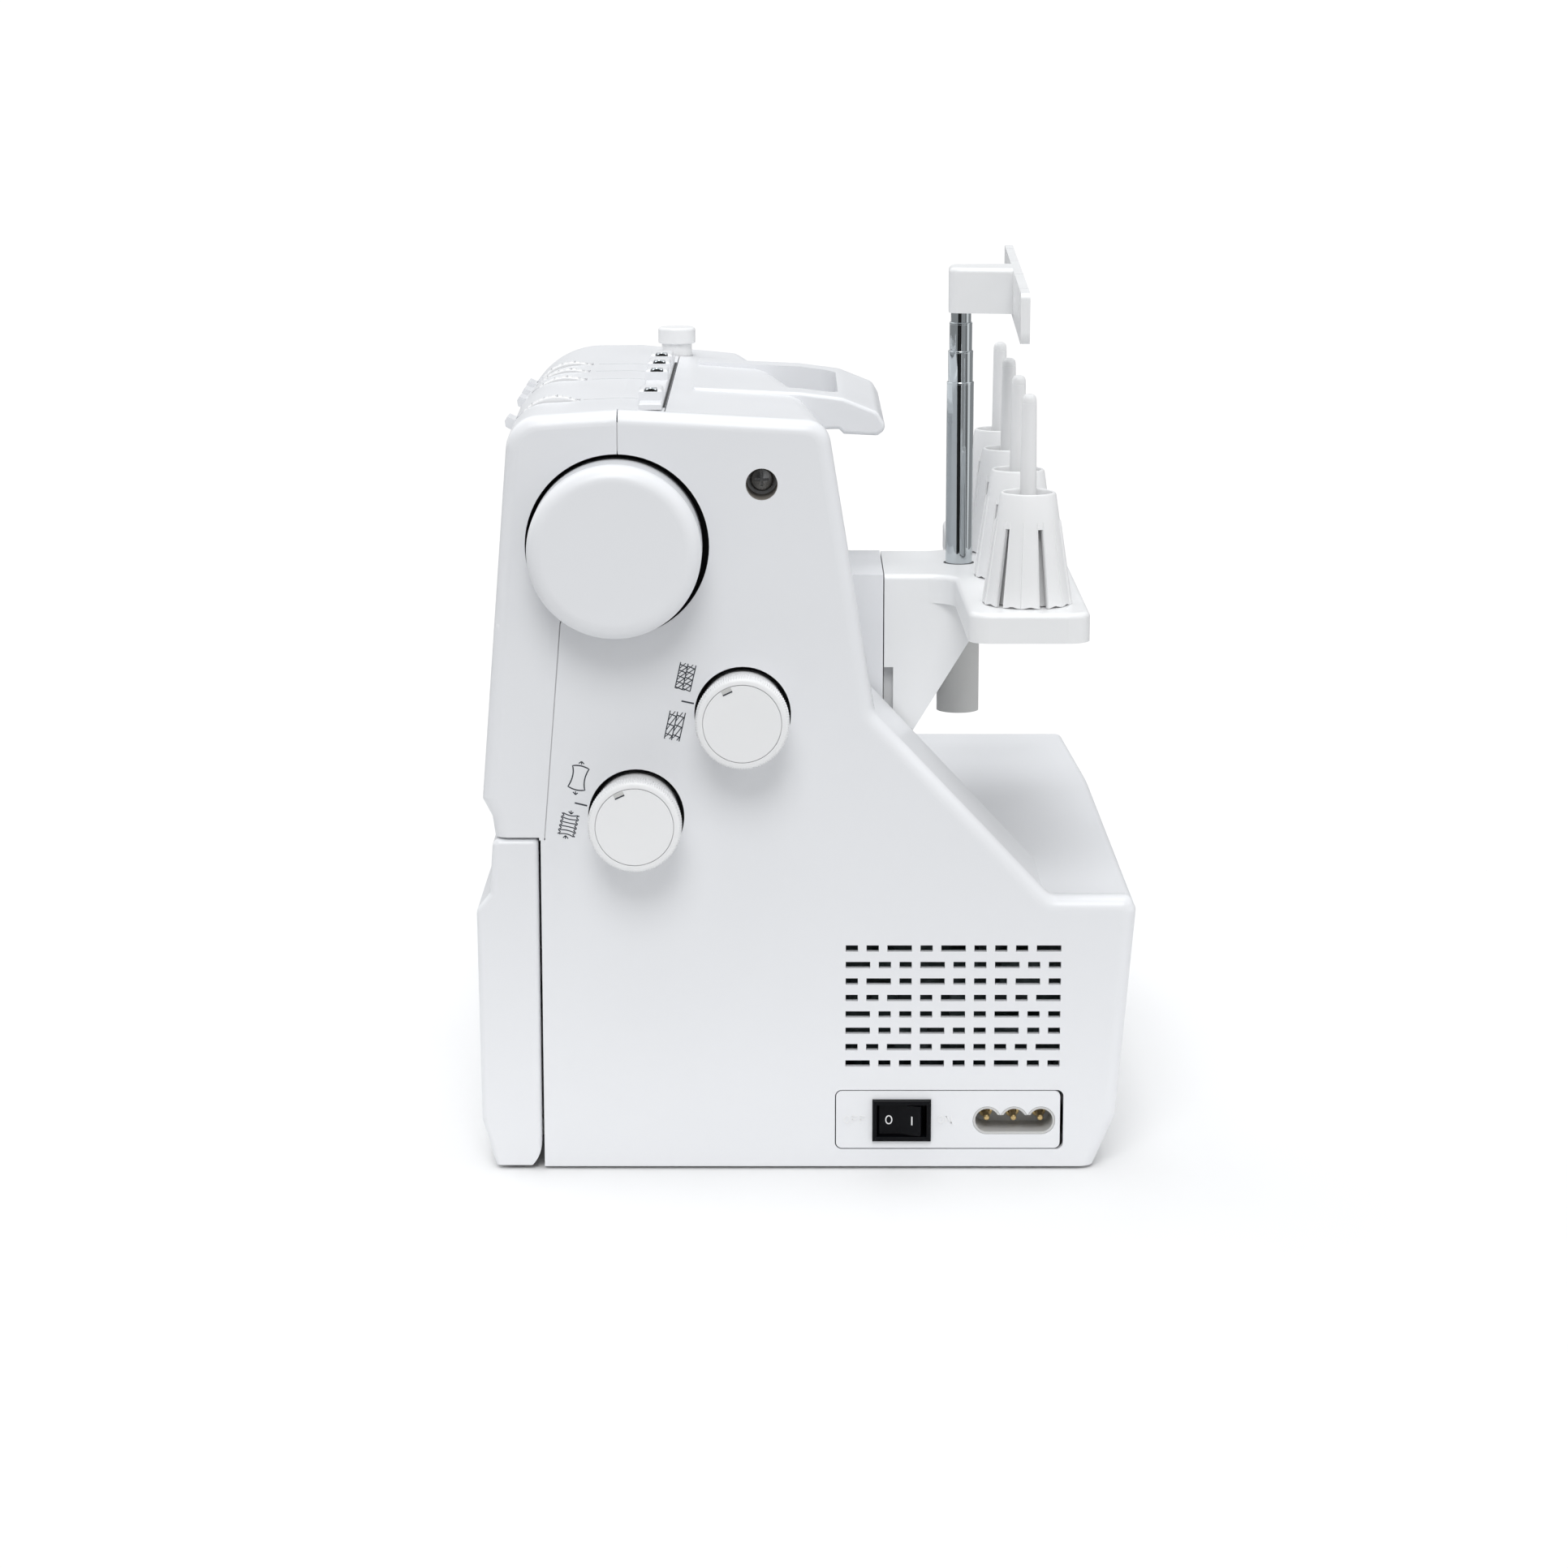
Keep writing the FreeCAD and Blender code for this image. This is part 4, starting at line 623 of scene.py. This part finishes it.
def panel_words():
    """OFF and ON, raised a little on the inlet panel, either side of the switch."""
    low, high = box_mm("inlet_panel")
    bezel_low, bezel_high = box_mm("switch_housing")
    face, z = high[0], (low[2] + high[2]) / 2 - 1.3

    def on_panel(u, v, height):
        return Vector((face + 2 * height, u, v))

    bm = bmesh.new()
    for word, y in (("OFF", bezel_low[1] - 10.2), ("ON", bezel_high[1] + 2.6)):
        for letter in word:
            for points, closed in letter_strokes(letter, y, z, LETTER_WIDTH, LETTER_HEIGHT):
                ribbon(bm, points, 0.4, 0.14, on_panel, closed=closed)
            y += LETTER_PITCH
    finish_piece("panel_words", bm, "white_satin", "root")


def inlet_collars():
    """Brass collar at the foot of each inlet pin."""
    low, high = box_mm("inlet_pins")
    half = (high[2] - low[2]) / 2
    z = (low[2] + high[2]) / 2
    bm = bmesh.new()
    for share in (0.0, 0.5, 1.0):
        y = low[1] + half + share * (high[1] - low[1] - 2 * half)
        turned(bm, [(half + 0.05, COLLAR_FOOT), (2.5, COLLAR_FOOT), (2.6, COLLAR_FOOT + 0.8),
                    (2.4, COLLAR_FOOT + 1.2), (half + 0.5, COLLAR_FOOT + 1.25),
                    (half + 0.05, COLLAR_FOOT + 1.7)], about_x(y, z), segments=40)
    finish_piece("inlet_collars", bm, "brass", "root")


# ---------------------------------------------------------------------------
# Spool stand: pins, cone adapters, pole collars
# ---------------------------------------------------------------------------
def spool_pins():
    """Tapered pins with a flange at the foot and a rounded cap with a faint parting line."""
    low, high = box_mm("spool_pins")
    foot, top = low[2], high[2]
    bm = bmesh.new()
    for i in range(1, 5):
        x, y, _ = middle("cone_adapter_%d" % i)
        turned(bm, [(0, foot), (5.0, foot), (5.0, foot + 1.0), (4.6, foot + 1.45),
                    (3.05, foot + 1.7), (2.98, foot + 6), (2.9, PIN_SHOULDER), (2.58, top - 3.4),
                    (2.50, top - 3.3), (2.50, top - 3.15), (2.57, top - 3.05), (2.5, top - 1.9),
                    (2.2, top - 0.9), (1.6, top - 0.3), (0.8, top - 0.04), (0, top)],
               about_z(x, y), segments=48)
    finish_piece("spool_pin_row", bm, "white_satin", "root",
                 replaces=("spool_pins",))


class Cone:
    """Cone adapter: a smooth collar over six slit panels that carry thin ribs."""
    SLIT = 41.0                    # direction of one slit, in degrees clockwise from +X
    SLIT_TOP = 234.8
    RIB_MIDDLE, RIB_TOP = 225.0, 237.4
    BORE = 3.4                     # hole for the spool pin
    TOP_RADIUS = 9.7
    WALL = 1.3
    PANELS = 6
    HALF_LOW, HALF_TOP = 24.6, 25.8    # half the angle that a panel spans at its foot and its top
    RIBS = ((-24.0, -1.0), (0.0, 0.0), (24.0, 1.0))    # (place on a panel, lean) in degrees

    def __init__(self, node):
        self.node = node
        self.low, self.high = box_mm(node)
        self.x, self.y, _ = middle(node)
        self.foot, self.top = self.low[2], self.high[2]
        self.foot_radius = (self.high[0] - self.low[0]) / 2 - 0.45

    def radius(self, z):
        share = (z - self.foot) / (self.top - self.foot)
        return self.foot_radius + (self.TOP_RADIUS - self.foot_radius) * share

    def point(self, degrees, z, radius):
        angle = math.radians(degrees)
        return Vector((self.x + radius * math.cos(angle), self.y + radius * math.sin(angle), z))

    def collar(self, bm):
        low, web, top, wide = self.SLIT_TOP, self.SLIT_TOP + 1.4, self.top, self.TOP_RADIUS
        turned(bm, [(self.radius(low), low), (self.radius(top - 0.9), top - 0.9),
                    (self.radius(top) - 0.15, top - 0.25), (wide - 0.6, top),
                    (wide - 1.1, top - 0.15), (wide - 1.35, top - 0.8), (wide - 1.0, top - 6),
                    (wide - 0.2, web), (self.BORE, web), (self.BORE, low)],
               about_z(self.x, self.y))

    def panel(self, bm, centre):
        """One panel between two slits, a closed curved plate with a scalloped lower edge."""
        columns, rows = 14, 6
        outside, inside = [], []
        for j in range(rows + 1):
            share = j / rows
            half = self.HALF_LOW + (self.HALF_TOP - self.HALF_LOW) * share
            outer_row, inner_row = [], []
            for i in range(columns + 1):
                across = 2 * i / columns - 1
                scallop = 0.7 * (1 - abs(math.cos(math.pi * across)))
                foot = self.foot + 0.1 + scallop * (1 - share)
                z = foot + (self.SLIT_TOP + 0.6 - foot) * share
                degrees = centre + half * across
                outer_row.append(self.point(degrees, z, self.radius(z)))
                inner_row.append(self.point(degrees, z, self.radius(z) - self.WALL))
            outside.append(outer_row)
            inside.append(inner_row)
        loops = [outer + inner[::-1] for outer, inner in zip(outside, inside)]
        grid = sheet(bm, loops, wrap_columns=True)
        width = columns + 1
        for loop in (grid[0], grid[-1]):
            for i in range(columns):
                across = 2 * width - 1 - i
                bm.faces.new((loop[i], loop[i + 1], loop[across - 1], loop[across]))

    def rib(self, bm, degrees, lean=0.0):
        """Thin ridge that runs down a panel, with a small raised tip."""
        rows = []
        for z, height in ((self.foot + 0.15, 0.42), (self.RIB_MIDDLE, 0.38),
                          (self.RIB_TOP - 0.7, 0.42), (self.RIB_TOP, 0.0)):
            radius = self.radius(z)
            spread = math.degrees(0.24 / radius)
            turn = degrees + lean * (z - self.foot) / (self.top - self.foot)
            rows.append([self.point(turn - spread, z, radius - 0.1),
                         self.point(turn, z, radius + height),
                         self.point(turn + spread, z, radius - 0.1)])
        grid = sheet(bm, rows, wrap_columns=True)
        bm.faces.new(grid[0])
        bm.faces.new(grid[-1])

    def sleeve(self, bm):
        """Straight tube inside the cone that guides it on its pin."""
        foot, top = self.foot + 0.3, self.SLIT_TOP + 0.5
        turned(bm, [(self.BORE, foot), (self.foot_radius - 4.4, foot), (self.TOP_RADIUS - 2.6, top),
                    (self.BORE, top)], about_z(self.x, self.y), segments=48)

    def build(self):
        bm = bmesh.new()
        self.collar(bm)
        self.sleeve(bm)
        span = 360 / self.PANELS
        for i in range(self.PANELS):
            centre = span / 2 - self.SLIT + span * i
            self.panel(bm, centre)
            for offset, lean in self.RIBS:
                self.rib(bm, centre + offset, lean)
        finish_piece(self.node + "_shell", bm, "white_satin",
                     body_of_node(self.node), replaces=(self.node,))


def pole_collars():
    """Rolled lip at the top of each lower pole section."""
    for i in (1, 2, 3):
        node = "pole_section_%d" % i
        low, high = box_mm(node)
        x, y, _ = middle(node)
        inner = box_mm("pole_section_%d" % (i + 1))
        bore = (inner[1][0] - inner[0][0]) / 2 + 0.05
        outer, top = (high[0] - low[0]) / 2, high[2]
        bm = bmesh.new()
        turned(bm, [(bore, top - 0.3), (outer - 0.05, top - 0.8), (outer + 0.05, top - 0.65),
                    (outer + 0.05, top - 0.2), (outer - 0.1, top + 0.03), (bore + 0.1, top + 0.03)],
               about_z(x, y), segments=64)
        finish_piece("pole_lip_%d" % i, bm, "chrome", body_of_node(node))


def pole_foot():
    """Painted shade: a black ring in the clearance where the pole goes down through the tray."""
    low, high = box_mm("pole_section_1")
    x, y, _ = middle("pole_section_1")
    radius, tray = (high[0] - low[0]) / 2, box_mm("spool_pins")[0][2]
    inner, outer = radius + 0.02, radius + 0.75
    bm = bmesh.new()
    turned(bm, [(inner, tray - SUNK), (inner, tray + 0.05), (outer, tray + 0.05),
                (outer, tray - SUNK)], about_z(x, y), segments=64)
    finish_piece("pole_foot_shade_ring", bm, "shadow_black", "root")


# ---------------------------------------------------------------------------
# Top: spring discs, groove of the guide plate, tension dial scales
# ---------------------------------------------------------------------------
def islands(node):
    """Corners of each separate solid of a CAD node, sorted along X, in millimetres."""
    bm = bmesh.new()
    bm.from_mesh(NODES[node].data)
    bmesh.ops.remove_doubles(bm, verts=bm.verts, dist=1e-6)
    unseen = set(bm.verts)
    found = []
    while unseen:
        group, queue = [], [unseen.pop()]
        while queue:
            vert = queue.pop()
            group.append(vert.co / MM)
            for edge in vert.link_edges:
                other = edge.other_vert(vert)
                if other in unseen:
                    unseen.remove(other)
                    queue.append(other)
        found.append(([min(c[k] for c in group) for k in range(3)],
                      [max(c[k] for c in group) for k in range(3)]))
    bm.free()
    return sorted(found)


def spring_discs():
    """Two toothed spring discs in each thread guide block, and a black front disc on a black post
    as painted shade in the slot and the discs' centres.
    """
    metal, dark = bmesh.new(), bmesh.new()
    for low, high in islands("pretension_discs"):
        y, z = (low[1] + high[1]) / 2, (low[2] + high[2]) / 2
        radius = (high[2] - low[2]) / 2
        place = about_x(y, z)
        back, front = low[0], high[0]
        for start in (back + 1.0, back + 2.6):
            def teeth(angle, along, crest=start + 0.4):
                return 0.2 * math.cos(14 * angle) if abs(along - crest) < 0.1 else 0.0

            turned(metal, [(1.95, start), (radius - 0.6, start), (radius - 0.2, start + 0.4),
                           (radius - 0.6, start + 0.8), (1.95, start + 0.8)],
                   place, segments=112, ripple=teeth)
        turned(dark, [(0, back), (1.1, back), (1.1, back + 0.9), (1.9, back + 0.95),
                      (1.9, back + 3.5), (0.9, back + 3.6), (0.8, front - 0.9),
                      (radius - 0.35, front - 0.8), (radius - 0.35, front - 0.2), (0, front)],
               place, segments=40)
    finish_piece("spring_discs", metal, "chrome", "root", replaces=("pretension_discs",))
    finish_piece("spring_disc_shade", dark, "shadow_black", "root")


def top_of(node):
    """Finds the height of a node's upper surface at (X, Y), in millimetres."""
    mesh = NODES[node].data
    tree = BVHTree.FromPolygons([v.co for v in mesh.vertices], [p.vertices for p in mesh.polygons])

    def height(x, y):
        hit = tree.ray_cast(Vector((x * MM, y * MM, 1.0)), Vector((0, 0, -1)))[0]
        return hit.z / MM if hit else None
    return height


def plate_gap():
    """Painted shade: a black strip in the groove behind the thread guide plate, standing in for the
    shadow in it.
    """
    surface = top_of("front_casing")
    rear = PLATE_REAR + PLATE_GROOVE
    steps = 24

    def place(u, v, height):
        return Vector((u, v, (surface(u, rear) or TOP_Z) + height))

    bm = bmesh.new()
    points = [(PLATE_LEFT + (PLATE_RIGHT - PLATE_LEFT) * i / steps, rear) for i in range(steps + 1)]
    ribbon(bm, points, PLATE_GROOVE_WIDTH, 0.12, place)
    finish_piece("guide_plate_gap_shade", bm, "shadow_black", "root")


def tension_scales():
    """Printed ticks round the rim of each tension dial."""
    for i in range(1, 5):
        node = "tension_dial_%d" % i
        low, high = box_mm(node)
        x, y, z = middle(node)
        radius, half = (high[1] - low[1]) / 2 - 0.02, (high[0] - low[0]) / 2 - 1.2

        def on_rim(tenths, along, height):
            """A point at an angle in tenths of a degree."""
            angle, reach = math.radians(tenths / 10), radius + height
            return Vector((x + along, y + reach * math.cos(angle), z + reach * math.sin(angle)))

        bm = bmesh.new()
        for step in range(20):
            tenths = 900 + 180 * step
            length = half if step % 2 == 0 else half * 0.45
            ribbon(bm, [(tenths, -length), (tenths, length)], 7.0, 0.03, on_rim)
        finish_piece(node + "_scale", bm, "ink_grey", body_of_node(node))


# ---------------------------------------------------------------------------
# Scene: floor, light, camera
# ---------------------------------------------------------------------------
def floor():
    bpy.ops.mesh.primitive_plane_add(size=FLOOR_SIZE, location=(0, 0, -FLOOR_DROP))
    plane = bpy.context.object
    plane.name = "studio_floor"
    shader = Shader("studio_floor", (0.85, 0.85, 0.85), 0.7)
    shader.mottle(shader.noise(3.0), 0.004)
    plane.data.materials.append(shader.material)


class World:
    """Seamless white to the camera, an even sky for soft light, and walls for reflections."""

    def __init__(self):
        self.world = bpy.data.worlds.new("studio")
        self.world.use_nodes = True
        bpy.context.scene.world = self.world
        self.tree = self.world.node_tree
        self.tree.nodes.clear()
        place = self.tree.nodes.new("ShaderNodeTexCoord").outputs["Generated"]
        split = self.tree.nodes.new("ShaderNodeSeparateXYZ")
        self.tree.links.new(place, split.inputs["Vector"])
        self.x, self.y, self.z = [split.outputs[axis] for axis in "XYZ"]

    def background(self, strength, colour=None, source=None):
        node = self.tree.nodes.new("ShaderNodeBackground")
        node.inputs["Strength"].default_value = strength
        if colour:
            node.inputs["Color"].default_value = (*colour, 1)
        if source:
            self.tree.links.new(source, node.inputs["Color"])
        return node.outputs["Background"]

    def ramp(self, value, stops):
        """Colour ramp with (position, grey) stops."""
        node = self.tree.nodes.new("ShaderNodeValToRGB")
        elements = node.color_ramp.elements
        while len(elements) < len(stops):
            elements.new(0.5)
        for element, (position, grey) in zip(elements, stops):
            element.position = position
            element.color = (grey, grey * 1.015, grey * 1.03, 1)
        self.tree.links.new(value, node.inputs["Fac"])
        return node.outputs["Color"]

    def walls(self):
        """Grey walls with a dark gap towards the camera, seen only in reflections."""
        turn = self.tree.nodes.new("ShaderNodeMath")
        turn.operation = "ARCTAN2"
        self.tree.links.new(self.y, turn.inputs[0])
        self.tree.links.new(self.x, turn.inputs[1])
        share = self.tree.nodes.new("ShaderNodeMapRange")
        share.inputs["From Min"].default_value = -math.pi
        share.inputs["From Max"].default_value = math.pi
        self.tree.links.new(turn.outputs["Value"], share.inputs["Value"])
        return self.ramp(share.outputs["Result"], [((a + 180) / 360, grey) for a, grey in WALLS])

    def studio(self):
        """The walls, with a light ceiling above them."""
        height = self.tree.nodes.new("ShaderNodeMapRange")
        height.inputs["From Min"].default_value = 0.35
        height.inputs["From Max"].default_value = 0.65
        self.tree.links.new(self.z, height.inputs["Value"])
        mix = self.tree.nodes.new("ShaderNodeMix")
        mix.data_type = "RGBA"
        self.tree.links.new(height.outputs["Result"], mix.inputs["Factor"])
        self.tree.links.new(self.walls(), mix.inputs["A"])
        mix.inputs["B"].default_value = (0.9, 0.92, 0.95, 1)
        return mix.outputs["Result"]

    def choose(self, flag, when_not, when):
        """Shows one shader to the rays that have the flag, and another to the rest."""
        mix = self.tree.nodes.new("ShaderNodeMixShader")
        path = self.tree.nodes.new("ShaderNodeLightPath")
        self.tree.links.new(path.outputs[flag], mix.inputs["Fac"])
        self.tree.links.new(when_not, mix.inputs[1])
        self.tree.links.new(when, mix.inputs[2])
        return mix.outputs["Shader"]

    def build(self):
        height = self.tree.nodes.new("ShaderNodeMapRange")
        height.inputs["From Min"].default_value = -1.0
        self.tree.links.new(self.z, height.inputs["Value"])
        sky = self.background(1.0, source=self.ramp(height.outputs["Result"], SKY))
        reflected = self.background(1.0, source=self.studio())
        white = self.background(1.05, colour=(1, 1, 1))
        shader = self.choose("Is Camera Ray", self.choose("Is Glossy Ray", sky, reflected), white)
        out = self.tree.nodes.new("ShaderNodeOutputWorld")
        self.tree.links.new(shader, out.inputs["Surface"])


def sun(name, towards, strength, softness, colour=(1, 1, 1)):
    """Parallel soft light that comes from the given direction."""
    data = bpy.data.lights.new(name, "SUN")
    data.energy = strength
    data.angle = math.radians(softness)
    data.color = colour
    lamp = bpy.data.objects.new(name, data)
    lamp.rotation_euler = Vector(towards).to_track_quat("Z", "Y").to_euler()
    bpy.context.scene.collection.objects.link(lamp)


def lights():
    sun("key", (0.66, -0.05, 0.75), 1.28, 30)
    sun("top", (-0.05, 0.0, 1.0), 1.0, 40, (0.97, 0.985, 1.0))
    sun("rear", (0.2, 0.9, 0.35), 0.45, 60)
    sun("fill_left", (-0.6, -0.7, 0.5), 0.6, 60)


def camera():
    """In front of the machine's right side, 1.34 m from it, looking slightly down."""
    data = bpy.data.cameras.new("camera")
    data.sensor_width = 36.0
    data.lens = CAMERA_LENS
    view = bpy.data.objects.new("camera", data)
    pitch = math.radians(CAMERA_PITCH)
    forward = Vector((-math.cos(pitch), 0.0, -math.sin(pitch)))
    view.location = CAMERA_PLACE
    view.rotation_euler = forward.to_track_quat("-Z", "Y").to_euler()
    bpy.context.scene.collection.objects.link(view)
    bpy.context.scene.camera = view


def main():
    dress_cad_nodes()
    side_dial("stitch_length_dial", LENGTH_MARKS)
    side_dial("differential_dial", FEED_MARKS)
    recess_shade_ring("length_dial_recess", "stitch_length_dial", DIAL_RECESS_GAP, DIAL_RECESS_DEPTH)
    recess_shade_ring("feed_dial_recess", "differential_dial", DIAL_RECESS_GAP, DIAL_RECESS_DEPTH)
    recess_shade_ring("handwheel_recess", "handwheel", WHEEL_RECESS_GAP, WHEEL_RECESS_DEPTH,
                  shift=WHEEL_RECESS_SHIFT)
    screw_well()
    handwheel_shade_band()
    stitch_icons()
    seam_tongue()
    rocker_marks()
    panel_words()
    inlet_collars()
    spool_pins()
    for i in range(1, 5):
        Cone("cone_adapter_%d" % i).build()
    pole_collars()
    pole_foot()
    spring_discs()
    plate_gap()
    tension_scales()
    floor()
    World().build()
    lights()
    camera()
    bpy.context.scene.view_settings.view_transform = "Standard"


main()
